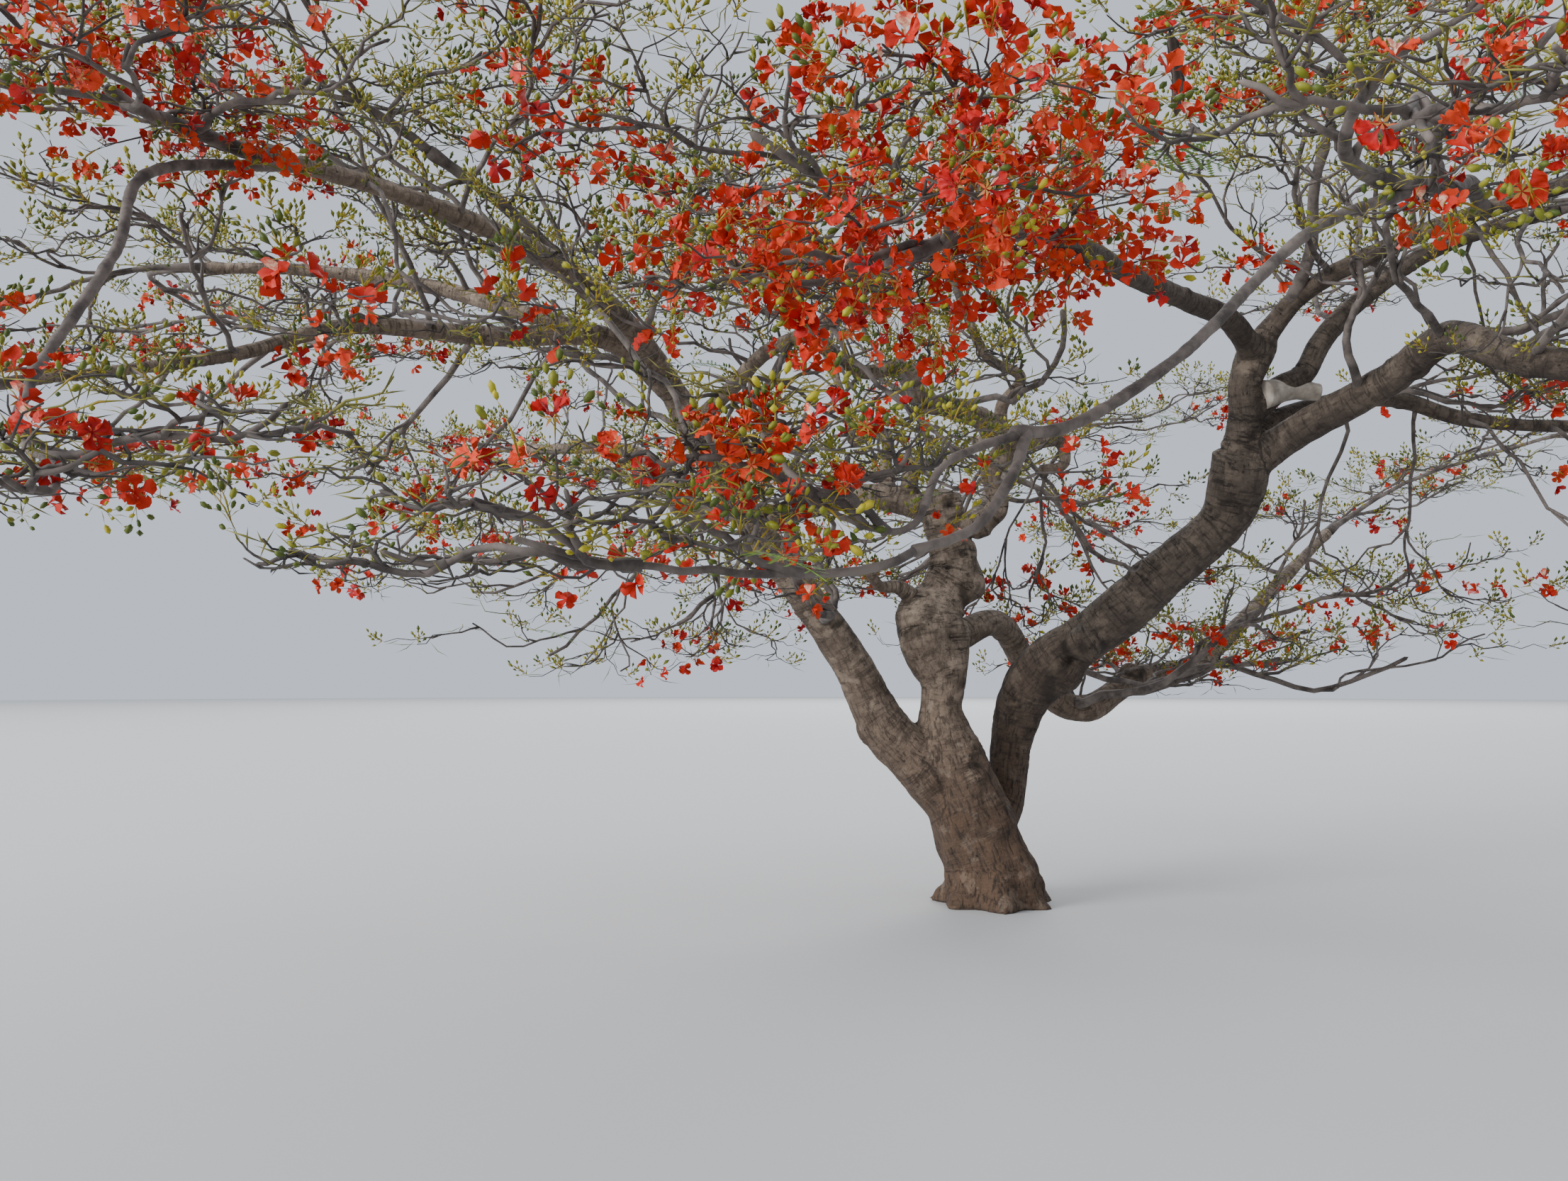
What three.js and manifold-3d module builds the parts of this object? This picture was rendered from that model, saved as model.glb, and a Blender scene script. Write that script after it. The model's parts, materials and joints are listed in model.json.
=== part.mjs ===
// A flame tree in blossom: a short leaning trunk that forks low and ends in an old, swollen head,
// crooked boughs that carry a wide, low, umbrella-shaped crown, and open masses of twigs tipped
// with bloom heads and bud sprays. Millimetres, +Z up. The origin is the middle of the flat cut
// under the trunk, at ground level. +X is to the right and +Y away from whoever looks at the tree
// from the side of its low left fork.
import * as THREE from "three";
import { mergeVertices } from "three/addons/utils/BufferGeometryUtils.js";
import Module from "manifold-3d";

const wasm = await Module();
wasm.setup();

// Points of a mesh nearer than this are one, and a point this near a cylinder's middle is on it
const SAME_POINT = 1e-3;
const ON_AXIS = 1e-6;

// What a shoot's chances are drawn for, and the wave that they are read from
const DRAW = { phase: 1, turn: 2, lift: 3, bloom: 4, size: 5, roll: 6, first: 7, last: 8 };
const LABEL_WAVE = 12.9898;
const DRAW_WAVE = 78.233;
const WAVE_HEIGHT = 43758.5453;

// Clearances between solids
const JOIN_GAP = 0.35;
const LIMB_CLEARANCE = 30;
const SPACE_MARGIN = 0.06;
const ROOT_REACH = 350;
const SHOOT_CHECKS = 10;
const INNER_CHECKS = [1 / 3, 2 / 3];

// An octahedron of size 1 on its face: how far its corners lie from the middle line, and its half
// height
const FACE_CORNERS = Math.sqrt(2 / 3);
const FACE_HEIGHT = Math.sqrt(1 / 3);

// Limbs: how a root swells into its parent and how a tip swells into a knuckle
const COLLAR_SWELL = 0.35;
const COLLAR_LENGTH = 3;
const KNUCKLE_SWELL = 0.3;
const KNUCKLE_LENGTH = 2;
const RING_SPACING = 400;
const FEWEST_RINGS = 3;

// Root flare: the number of buttress ribs, their depth and the height at which they fade
const RIBS = 7;
const RIB_DEPTH = 0.14;
const RIB_HEIGHT = 260;

// Shoots of a mass, level by level: how many leave each shoot, and how thick each level is
const CHILDREN = [4, 2];
const CHILD_RADIUS = 0.5;
const SHOOT_SIDES = [4, 3, 3];
const TIP_TAPER = 0.4;
const STEM = 0.95;
const PAIR_STEM = 0.55;
const PAIR_OFFSET = 0.68;
const FIRST_LABEL = 1000;
const LABEL_STEP = 6;
const TURN_PLAY = 0.5;
const REACH = 0.97;
const FIRST_FORK = 0.25;
const LAST_FORK = 0.92;
const FORK_PLAY = 0.2;
const FORWARD = 0.35;
const STEM_RINGS = 4;
const SPREAD = 0.58;
const SHRINK = 0.56;
const LIFT = 0.7;
const BEND = 0.45;
const STEM_LIFT = -0.25;

// Bloom heads and bud sprays at the shoots' ends
const BLOOM_HEAD = { across: 240, deep: 240, long: 90 };
const BUD_SPRAY = { across: 95, deep: 24, long: 200 };
const TUFT_PLAY = 0.25;
const TILT_UP = 0.8;
const SUNK = 0.35;

// A mass is coloured as blossom where more than this share of its shoots bear it
const MOSTLY_BLOOM = 0.5;

const BARK = { color: "#6d6259", roughness: 0.92, metalness: 0 };
const YOUNG_BARK = { color: "#7d756b", roughness: 0.9, metalness: 0 };
const BLOOM = { color: "#c8281a", roughness: 0.6, metalness: 0 };
const BUDS = { color: "#7c8a35", roughness: 0.7, metalness: 0 };

// The trunk: the points its middle passes through, and its radius at each. It leans left, narrows
// above the fork, swells into a bulb, and ends in a knobbly head where it was once cut back.
const TRUNK = {
  through: [
    [0, 0, 0], [0, 0, 150], [-50, 0, 350], [-190, 0, 700], [-330, 0, 1100], [-370, 20, 1450],
    [-350, 40, 1650], [-410, 60, 1950], [-430, 80, 2150], [-340, 90, 2330], [-250, 100, 2500],
    [-290, 100, 2750], [-350, 100, 3080],
  ],
  radii: [430, 350, 312, 300, 270, 155, 170, 285, 265, 175, 180, 160, 165],
  sides: 14,
  rings: 23,
};

// The limbs: each springs from its parent, at a share of the parent's length, and passes through a
// few points to its tip. radii are its radius from root to tip, at even steps of its length, and
// collar is how much it swells where it leaves its parent.
const LIMBS = [
  { name: "left_bough", from: "trunk", at: 0.22, sides: 9, collar: 0.45,
    radii: [200, 158, 128, 113, 98, 78, 58, 47, 36],
    through: [[-480, -10, 990], [-800, -50, 1300], [-1100, -150, 1850], [-1950, -600, 3000],
      [-2500, -1200, 3880], [-2900, -2100, 4130], [-3500, -3300, 4080], [-3850, -4000, 3950]] },
  { name: "left_upper_bough", from: "left_bough", at: 0.68, radii: [42, 30], sides: 6,
    through: [[-3200, -2300, 4420], [-3550, -2650, 4600]] },
  { name: "left_low_bough", from: "left_bough", at: 0.53, radii: [80, 70, 52, 34, 26], sides: 7,
    through: [[-2750, -1300, 3930], [-3400, -1800, 3800], [-4050, -2400, 3680], [-4450, -3000, 3340],
      [-4950, -3950, 2950]] },
  { name: "left_middle_bough", from: "left_low_bough", at: 0.16, radii: [60, 56, 44, 36], sides: 7,
    through: [[-3300, -1400, 4080], [-3950, -1200, 4320], [-4800, -1250, 4420], [-5400, -1400, 4380]] },
  { name: "left_drooping_limb", from: "left_bough", at: 0.97, radii: [24, 17], sides: 6,
    through: [[-4000, -4650, 3580], [-3900, -5000, 3150], [-3870, -5450, 2600]] },
  { name: "left_crossing_limb", from: "left_bough", at: 0.485, radii: [58, 46, 34], sides: 7,
    through: [[-1900, -1600, 3530], [-1680, -2200, 3580], [-1320, -2900, 3560], [-1120, -3400, 3620]] },
  { name: "back_left_bough", from: "trunk", at: 0.965, radii: [100, 86, 76, 62, 46], sides: 7,
    through: [[-900, 300, 3130], [-1600, 700, 3050], [-2450, 1100, 3200], [-2850, 1600, 3700],
      [-4200, 3000, 4050]] },
  { name: "crooked_arm", from: "back_left_bough", at: 0.085, radii: [54, 46, 32], sides: 7, rings: 11,
    through: [[-760, 260, 3380], [-740, 300, 3580], [-860, 330, 3640], [-1010, 360, 3580],
      [-1040, 400, 3760], [-1150, 700, 4250]] },
  { name: "sawn_stub", from: "back_left_bough", at: 0.05, radii: [58, 54], sides: 7,
    clearOf: ["crooked_arm"], through: [[-580, 140, 3240], [-530, 140, 3380]] },
  { name: "elbow_arm", from: "trunk", at: 0.94, radii: [78, 84, 76, 76], sides: 8, rings: 8,
    collar: 0.15, through: [[-60, -30, 2870], [60, -90, 3000], [10, -120, 3250], [180, -200, 3460]] },
  { name: "long_arm", from: "elbow_arm", at: 0.97, radii: [84, 78, 70, 50, 40], sides: 7, rings: 12,
    collar: 0.1,
    through: [[-50, -400, 3560], [-400, -750, 3600], [-620, -950, 3600], [-750, -1100, 3780],
      [-1050, -1300, 3710], [-1350, -1650, 3800]] },
  { name: "hooked_arm", from: "elbow_arm", at: 0.97, radii: [58, 50, 34], sides: 7, rings: 8,
    collar: 0.1, clearOf: ["long_arm"],
    through: [[380, -100, 3480], [570, 0, 3500], [600, 20, 3330], [420, 40, 3290]] },
  { name: "forked_arm", from: "long_arm", at: 0.07, radii: [48, 40, 32], sides: 6, rings: 7,
    through: [[60, -320, 3700], [170, -500, 3880], [-100, -650, 3990], [-300, -720, 4400]] },
  { name: "back_right_bough", from: "trunk", at: 0.61, radii: [104, 104, 114, 98, 84, 66, 46],
    sides: 8, rings: 16, collar: 0.2,
    through: [[20, 320, 2110], [240, 640, 2080], [500, 920, 1750], [780, 1060, 1470],
      [1050, 1160, 1430], [1550, 1500, 1680], [2200, 1900, 1800], [3300, 2600, 2600],
      [4100, 3200, 3200]] },
  { name: "broken_limb", from: "trunk", at: 0.7, radii: [54, 36], sides: 6, rings: 5,
    through: [[-700, -100, 2370], [-860, -200, 2370], [-940, -290, 2500]] },
  { name: "back_bough", from: "trunk", at: 0.91, radii: [90, 84, 72, 58, 46], sides: 7,
    through: [[0, 450, 2980], [250, 1000, 3300], [550, 1800, 3720], [720, 2700, 4050],
      [650, 4200, 4400]] },
  { name: "right_bough", from: "trunk", at: 0.12, sides: 11, rings: 16, collar: 0,
    radii: [150, 152, 154, 208, 184, 184, 172, 162, 148],
    through: [[160, 280, 750], [210, 320, 1150], [310, 220, 1540], [500, 0, 1830], [850, -200, 2090],
      [1270, -450, 2500], [1590, -610, 2820], [1660, -800, 3220]] },
  { name: "right_upright_bough", from: "right_bough", at: 0.97, radii: [120, 104, 92], sides: 8,
    collar: 0.15, through: [[1650, -900, 3520], [1630, -960, 3720], [1740, -1000, 4020]] },
  { name: "right_front_bough", from: "right_upright_bough", at: 0.88, radii: [74, 64, 52, 40],
    sides: 7,
    through: [[1370, -1400, 4030], [950, -1900, 3980], [220, -3000, 3780], [-250, -3900, 3580],
      [-600, -4500, 3400]] },
  { name: "right_upper_bough", from: "right_upright_bough", at: 0.97, radii: [68, 56, 42], sides: 7,
    through: [[1930, -1200, 4260], [2330, -1800, 4420], [2900, -2500, 4480], [3250, -3000, 4480]] },
  { name: "right_far_bough", from: "right_upright_bough", at: 0.42, radii: [84, 76, 66, 54, 42],
    sides: 7, rings: 10,
    through: [[1900, -920, 3700], [2060, -900, 3790], [2200, -900, 4030], [2450, -900, 4300],
      [3000, -900, 4680], [3900, -900, 4980]] },
  { name: "right_sawn_stub", from: "right_far_bough", at: 0.1, radii: [72, 60], sides: 7,
    through: [[2080, -900, 3690], [2170, -900, 3670]] },
  { name: "right_vertical_limb", from: "right_upper_bough", at: 0.12, radii: [44, 30], sides: 6,
    through: [[1900, -1450, 4500], [1840, -1650, 4800], [1850, -1800, 5050]] },
  { name: "right_arch_bough", from: "right_bough", at: 0.975, radii: [116, 108, 92, 70, 48], sides: 9,
    rings: 13, collar: 0.15, clearOf: ["right_upright_bough"],
    through: [[1950, -1000, 3360], [2380, -1500, 3620], [2520, -1900, 3760], [2700, -2400, 3480],
      [3600, -3100, 3250], [4500, -3650, 3250]] },
  { name: "right_low_bough", from: "right_bough", at: 0.98, radii: [84, 66, 50, 38], sides: 7,
    clearOf: ["right_upright_bough", "right_arch_bough"],
    through: [[1920, -700, 3480], [2300, -600, 3640], [2950, -420, 3740], [3450, -400, 3600],
      [4250, -400, 3540], [5000, -600, 3580]] },
  { name: "near_bough", from: "right_upper_bough", at: 0.6, radii: [44, 34], sides: 7,
    through: [[2100, -2900, 4300], [1300, -4000, 3800], [900, -4250, 3740]] },
  { name: "sweeping_limb", from: "near_bough", at: 0.88, radii: [26, 20], sides: 6,
    through: [[570, -4400, 3470], [-170, -4900, 2800], [-650, -5200, 2480], [-840, -5300, 2440]] },
  { name: "low_sweeping_limb", from: "sweeping_limb", at: 0.98, radii: [18, 14], sides: 6,
    through: [[-870, -5420, 2280], [-1000, -5540, 2110], [-1200, -5680, 2020]] },
  { name: "low_forked_limb", from: "sweeping_limb", at: 0.98, radii: [15, 12], sides: 6,
    clearOf: ["low_sweeping_limb"],
    through: [[-980, -5400, 2370], [-1100, -5500, 2290], [-1160, -5580, 2160]] },
  { name: "right_hanging_limb", from: "near_bough", at: 0.8, radii: [24, 16], sides: 6,
    through: [[750, -4900, 3620], [400, -5500, 3380], [150, -5900, 3220]] },
];

// The masses: each grows from a limb's tip into its own space, given by its middle and its half
// sizes. bloom is the share of its shoots that end in a bloom head, and the rest bear buds. tufts is
// the size of its heads and sprays against the usual, and shoots is how many leave its stem.
const MASSES = [
  { name: "centre_front_blossom", from: "right_front_bough", middle: [-1250, -5450, 3080],
    half: [950, 750, 600], bloom: 1, tufts: 0.85 },
  { name: "upper_left_blossom", from: "left_bough", middle: [-3950, -5000, 3880],
    half: [1250, 950, 600], bloom: 0.9 },
  { name: "low_left_blossom", from: "left_drooping_limb", middle: [-3350, -6000, 2300],
    half: [850, 600, 480], bloom: 0.6, shoots: 3, tufts: 0.5 },
  { name: "low_front_blossom", from: "low_forked_limb", middle: [-1650, -5850, 2330],
    half: [560, 400, 330], bloom: 0.8, shoots: 3, tufts: 0.5 },
  { name: "low_sweep_blossom", from: "low_sweeping_limb", middle: [-2200, -6250, 2080],
    half: [700, 450, 380], bloom: 0.6, shoots: 3, tufts: 0.5 },
  { name: "right_near_blossom", from: "near_bough", middle: [500, -5250, 3900],
    half: [1300, 1000, 520], bloom: 0.6, tufts: 0.75 },
  { name: "right_hanging_blossom", from: "right_hanging_limb", middle: [-150, -6500, 2950],
    half: [700, 550, 450], bloom: 0.75, shoots: 3, tufts: 0.55 },
  { name: "top_centre_spray", from: "left_crossing_limb", middle: [-1700, -4050, 4150],
    half: [1300, 900, 520], bloom: 0.25 },
  { name: "top_left_spray", from: "left_upper_bough", middle: [-3900, -3150, 4850],
    half: [1350, 950, 480], bloom: 0.35 },
  { name: "left_front_spray", from: "left_low_bough", middle: [-5900, -4500, 3050],
    half: [1300, 1200, 550], bloom: 0.35 },
  { name: "left_side_spray", from: "left_middle_bough", middle: [-6650, -1700, 4100],
    half: [1450, 1250, 600], bloom: 0.3 },
  { name: "left_back_spray", from: "left_middle_bough", middle: [-5700, 700, 4650],
    half: [1400, 1300, 550], bloom: 0.3 },
  { name: "back_left_spray", from: "back_left_bough", middle: [-5300, 3600, 4050],
    half: [1500, 1400, 620], bloom: 0.35 },
  { name: "back_left_far_spray", from: "back_left_bough", middle: [-3100, 5400, 4150],
    half: [1500, 1400, 620], bloom: 0.4 },
  { name: "inner_left_spray", from: "crooked_arm", middle: [-2700, 800, 5150],
    half: [1350, 1250, 520], bloom: 0.25 },
  { name: "inner_back_spray", from: "crooked_arm", middle: [-700, 2100, 5350],
    half: [1350, 1250, 520], bloom: 0.25 },
  { name: "inner_front_spray", from: "long_arm", middle: [-1700, -1750, 4950],
    half: [1300, 1150, 540], bloom: 0.2 },
  { name: "crown_top_spray", from: "forked_arm", middle: [-100, -500, 5600],
    half: [1300, 1250, 500], bloom: 0.25 },
  { name: "back_right_spray", from: "back_right_bough", middle: [5100, 4000, 3700],
    half: [1500, 1400, 650], bloom: 0.4 },
  { name: "right_back_spray", from: "back_right_bough", middle: [5900, 1500, 4150],
    half: [1500, 1300, 600], bloom: 0.35 },
  { name: "back_spray", from: "back_bough", middle: [400, 5900, 4250],
    half: [1600, 1400, 650], bloom: 0.4 },
  { name: "back_inner_spray", from: "back_bough", middle: [2500, 4200, 4750],
    half: [1450, 1350, 580], bloom: 0.3 },
  { name: "right_front_spray", from: "right_arch_bough", middle: [5500, -4350, 3400],
    half: [1450, 1300, 600], bloom: 0.5 },
  { name: "right_side_spray", from: "right_low_bough", middle: [6300, -1200, 3650],
    half: [1500, 1350, 600], bloom: 0.4 },
  { name: "right_upper_spray", from: "right_upper_bough", middle: [3900, -3300, 4750],
    half: [1250, 1150, 500], bloom: 0.45 },
  { name: "front_right_blossom", from: "right_upper_bough", middle: [3000, -5100, 3950],
    half: [1300, 1150, 560], bloom: 0.6, tufts: 0.75 },
  { name: "right_far_spray", from: "right_far_bough", middle: [4900, -900, 5150],
    half: [1300, 1150, 500], bloom: 0.3 },
  { name: "inner_right_spray", from: "right_far_bough", middle: [3300, 1400, 5350],
    half: [1400, 1250, 520], bloom: 0.25 },
  { name: "top_right_spray", from: "right_vertical_limb", middle: [1700, -2200, 5450],
    half: [1250, 1100, 480], bloom: 0.35 },
];

const point = ([x, y, z]) => new THREE.Vector3(x, y, z);

// A number from 0 to 1 that depends only on a shoot's label and on which draw it is.
function chance(label, draw) {
  const wave = Math.sin(label * LABEL_WAVE + draw * DRAW_WAVE) * WAVE_HEIGHT;
  return wave - Math.floor(wave);
}

// A closed solid from any closed geometry.
function solid(geometry) {
  geometry.deleteAttribute("normal");
  geometry.deleteAttribute("uv");
  const merged = mergeVertices(geometry, SAME_POINT);
  return new wasm.Manifold(
    new wasm.Mesh({
      numProp: 3,
      vertProperties: new Float32Array(merged.attributes.position.array),
      triVerts: new Uint32Array(merged.index.array),
    }),
  );
}

// The geometry of a solid.
function geometryOf(made) {
  const { vertProperties, triVerts } = made.getMesh();
  const geometry = new THREE.BufferGeometry();
  geometry.setAttribute("position", new THREE.BufferAttribute(vertProperties, 3));
  geometry.setIndex(new THREE.BufferAttribute(triVerts, 1));
  return geometry;
}

// The largest separate body of a solid. Loose scraps are dropped, and sealed hollows are filled.
function largestBody(made) {
  return made.decompose().reduce((best, body) => (body.volume() > best.volume() ? body : best));
}

// A cylinder bent along a curve, or a cone where it ends in a point. Its radius is a function of
// the share of the length, and of the angle round it where it is ribbed. extra grows it all over.
function bentCylinder(curve, radiusAt, sides, rings, { pointed = false, extra = 0 } = {}) {
  const geometry = new THREE.CylinderGeometry(pointed ? 0 : 1, 1, 1, sides, rings);
  const frames = curve.computeFrenetFrames(rings);
  const position = geometry.attributes.position;
  for (let i = 0; i < position.count; i++) {
    const [across, along, aside] = [position.getX(i), position.getY(i) + 0.5, position.getZ(i)];
    const ring = Math.round(along * rings);
    const angle = Math.atan2(aside, across);
    const normal = frames.normals[ring];
    const binormal = normal.clone().cross(frames.tangents[ring]);
    const radius = Math.hypot(across, aside) > ON_AXIS ? radiusAt(along, angle) + extra : 0;
    const place = curve.getPointAt(ring / rings);
    place.addScaledVector(normal, Math.cos(angle) * radius);
    place.addScaledVector(binormal, Math.sin(angle) * radius);
    if (ring === rings) place.addScaledVector(frames.tangents[ring], extra);
    if (ring === 0) place.addScaledVector(frames.tangents[ring], -extra);
    position.setXYZ(i, place.x, place.y, place.z);
  }
  return solid(geometry);
}

// The trunk's radius at a share of its length, between the radii at its points.
function trunkRadius(curve, share) {
  return between(TRUNK.radii, curve.getUtoTmapping(share, 0));
}

function trunkSolid(curve, extra) {
  const length = curve.getLength();
  const radiusAt = (share, angle) => {
    const fade = Math.exp(-(share * length) / RIB_HEIGHT);
    return trunkRadius(curve, share) * (1 + RIB_DEPTH * fade * Math.cos(RIBS * angle));
  };
  return bentCylinder(curve, radiusAt, TRUNK.sides, TRUNK.rings, { extra });
}

// A value at a share of the way along a list of evenly spaced values.
function between(values, share) {
  const along = share * (values.length - 1);
  const before = Math.min(Math.floor(along), values.length - 2);
  return THREE.MathUtils.lerp(values[before], values[before + 1], along - before);
}

// A limb's radius: its own taper, a collar that swells into the parent and a knuckle at the tip.
function limbRadius(limb, length, share) {
  const [base, tip] = [limb.radii[0], limb.radii.at(-1)];
  const [fromRoot, fromTip] = [share * length, (1 - share) * length];
  const collar = (limb.collar ?? COLLAR_SWELL) * base * Math.exp(-fromRoot / (COLLAR_LENGTH * base));
  const knuckle = KNUCKLE_SWELL * tip * Math.exp(-(((fromTip - tip) / (KNUCKLE_LENGTH * tip)) ** 2));
  return between(limb.radii, share) + collar + knuckle;
}

function limbSolid(limb, curve, extra) {
  const length = curve.getLength();
  const rings = limb.rings ?? Math.max(FEWEST_RINGS, Math.round(length / RING_SPACING));
  return bentCylinder(curve, (share) => limbRadius(limb, length, share), limb.sides, rings, { extra });
}

// The whole skeleton: every limb's curve, starting on its parent's own middle line, and its solid,
// cut clear of the parent's.
const curves = new Map();
const skeleton = new Map();
const fattened = new Map();

const trunkCurve = new THREE.CatmullRomCurve3(TRUNK.through.map(point));
curves.set("trunk", trunkCurve);
skeleton.set("trunk", trunkSolid(trunkCurve, 0));
fattened.set("trunk", trunkSolid(trunkCurve, JOIN_GAP));

for (const limb of LIMBS) {
  const root = curves.get(limb.from).getPointAt(limb.at);
  const curve = new THREE.CatmullRomCurve3([root, ...limb.through.map(point)]);
  curves.set(limb.name, curve);
  const clearOf = [limb.from, ...(limb.clearOf ?? [])];
  const whole = limbSolid(limb, curve, 0);
  const cut = clearOf.reduce((left, other) => left.subtract(fattened.get(other)), whole);
  skeleton.set(limb.name, largestBody(cut));
  fattened.set(limb.name, limbSolid(limb, curve, JOIN_GAP));
}

// How far a point is from a mass's middle, as a share of its half sizes.
function depthIn(mass, place) {
  const [x, y, z] = place.toArray().map((v, i) => (v - mass.middle[i]) / mass.half[i]);
  return Math.hypot(x, y, z);
}

// True where a place is in the mass's own space: nearer, by share, to its middle than to any other
// mass's.
function inOwnSpace(mass, place) {
  const own = depthIn(mass, place) + SPACE_MARGIN;
  return MASSES.every((other) => other === mass || depthIn(other, place) > own);
}

// True where two solids touch. Their boxes are compared first.
function meet(a, b) {
  const [p, q] = [a.boundingBox(), b.boundingBox()];
  const apart = [0, 1, 2].some((axis) => p.min[axis] > q.max[axis] || q.min[axis] > p.max[axis]);
  return !apart && a.intersect(b).volume() > 0;
}

// True where a piece of a mass lies close to a limb or to another mass's stem.
function touchesWood(mass, piece) {
  return obstacles.some((obstacle) => obstacle.mass !== mass && meet(obstacle.grown, piece));
}

function shootRadius(shoot, share) {
  return shoot.radius * (1 - TIP_TAPER * share);
}

// A point on the straight runs that a shoot's rings make of its curve.
function pointOnShoot(shoot, share) {
  const along = share * shoot.rings;
  const ring = Math.min(Math.floor(along), shoot.rings - 1);
  const [before, after] = [ring, ring + 1].map((k) => shoot.curve.getPointAt(k / shoot.rings));
  return before.lerp(after, along - ring);
}

// The share of a shoot's length at which a child leaves it: a little before the place that is
// abreast of the child's end, so that the child points forward.
function forkShare(parent, end, label) {
  const start = parent.curve.getPoint(0);
  const run = parent.curve.getPoint(1).sub(start);
  const abreast = end.clone().sub(start).dot(run) / run.lengthSq();
  const first = FIRST_FORK + FORK_PLAY * chance(label, DRAW.first);
  const last = LAST_FORK - FORK_PLAY * chance(label, DRAW.last);
  return THREE.MathUtils.clamp(abreast - FORWARD, first, last);
}

// The shoots that leave one shoot. Each has its own part of the mass's space, given by its middle
// in shares of the half sizes, and ends there. The parts shrink from level to level.
function childShoots(mass, parent) {
  const level = parent.level + 1;
  const count = parent.level === 0 ? (mass.shoots ?? CHILDREN[0]) : CHILDREN[parent.level];
  const phase = chance(parent.label, DRAW.phase);
  return Array.from({ length: count }, (_, i) => {
    const label = parent.label * LABEL_STEP + i + 1;
    const turn = 2 * Math.PI * (phase + (i + TURN_PLAY * chance(label, DRAW.turn)) / count);
    const lift = LIFT * (2 * chance(label, DRAW.lift) - 1);
    const step = point([Math.cos(turn) * Math.cos(lift), Math.sin(turn) * Math.cos(lift), Math.sin(lift)]);
    const part = parent.part.clone().addScaledVector(step, SPREAD * parent.size);
    part.multiplyScalar(Math.min(1, REACH / part.length()));
    const end = point(mass.middle).add(part.clone().multiply(point(mass.half)));
    const leave = forkShare(parent, end, label);
    const curve = new THREE.LineCurve3(pointOnShoot(parent, leave), end);
    const radius = CHILD_RADIUS * shootRadius(parent, leave);
    return { label, level, part, size: parent.size * SHRINK, radius, rings: 1, curve };
  });
}

// The stem: it leaves the limb's tip along the limb's own line and bends over to a little below the
// middle of the mass. Where two stems share a tip, they start on opposite sides of its middle.
function stemOf(mass, number) {
  const limb = LIMBS.find((one) => one.name === mass.from);
  const tipRadius = limb.radii.at(-1);
  const tip = curves.get(mass.from);
  const heading = tip.getTangentAt(1);
  const end = point(mass.middle).add(point([0, 0, STEM_LIFT * mass.half[2]]));
  const start = tip.getPointAt(1).addScaledVector(heading, JOIN_GAP);
  const partner = MASSES.find((other) => other.from === mass.from && other !== mass);
  if (partner) {
    const apart = point(mass.middle).sub(point(partner.middle)).projectOnPlane(heading).normalize();
    start.addScaledVector(apart, tipRadius * PAIR_OFFSET);
  }
  const bend = start.clone().addScaledVector(heading, BEND * start.distanceTo(end));
  return {
    label: FIRST_LABEL * (number + 1),
    level: 0,
    part: point([0, 0, 0]),
    size: 1,
    radius: tipRadius * (partner ? PAIR_STEM : STEM),
    rings: STEM_RINGS,
    curve: new THREE.QuadraticBezierCurve3(start, bend, end),
  };
}

// A shoot's wood: it tapers to a point.
function twigSolid(shoot, extra = 0) {
  const radiusAt = (share) => shootRadius(shoot, share);
  return bentCylinder(shoot.curve, radiusAt, SHOOT_SIDES[shoot.level], shoot.rings, { pointed: true, extra });
}

// What a shoot's end bears: an eight-faced head of blossom, tilted up, or an eight-faced spray of
// buds in line with the shoot. The octahedron lies on a face, and the shoot's point is sunk in it.
function tuftSolid(mass, shoot) {
  const inBloom = chance(shoot.label, DRAW.bloom) < mass.bloom;
  const heading = shoot.curve.getTangent(1);
  const { across, deep, long } = inBloom ? BLOOM_HEAD : BUD_SPRAY;
  const facing = inBloom ? heading.clone().add(point([0, 0, TILT_UP])).normalize() : heading;
  const size = (mass.tufts ?? 1) * (1 + TUFT_PLAY * (2 * chance(shoot.label, DRAW.size) - 1));
  const geometry = new THREE.OctahedronGeometry(1, 0);
  const [faceMiddle, up] = [point([1, 1, 1]).normalize(), point([0, 0, 1])];
  geometry.applyQuaternion(new THREE.Quaternion().setFromUnitVectors(faceMiddle, up));
  geometry.rotateZ(2 * Math.PI * chance(shoot.label, DRAW.roll));
  geometry.scale((across * size) / FACE_CORNERS, (deep * size) / FACE_CORNERS, (long * size) / FACE_HEIGHT);
  geometry.applyQuaternion(new THREE.Quaternion().setFromUnitVectors(up, facing));
  const middle = shoot.curve.getPoint(1).addScaledVector(facing, long * size * (1 - SUNK));
  geometry.translate(middle.x, middle.y, middle.z);
  return solid(geometry);
}

// True where a piece of a shoot is clear of the wood and in the mass's own space. Close to the
// shoot's root, on the stem, it may be outside that space, as the stem is.
function fits(mass, shoot, piece, rootReach) {
  const [root, end] = [shoot.curve.getPoint(0), shoot.curve.getPoint(1)];
  const { vertProperties } = piece.getMesh();
  const places = shoot.curve.getPoints(SHOOT_CHECKS);
  for (let i = 0; i < vertProperties.length; i += 3) {
    const corner = point(vertProperties.subarray(i, i + 3));
    places.push(corner, ...INNER_CHECKS.map((share) => end.clone().lerp(corner, share)));
  }
  const inside = places.every((place) => place.distanceTo(root) <= rootReach || inOwnSpace(mass, place));
  return inside && !touchesWood(mass, piece);
}

const stems = MASSES.map((mass, number) => ({ mass, stem: stemOf(mass, number) }));

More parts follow.
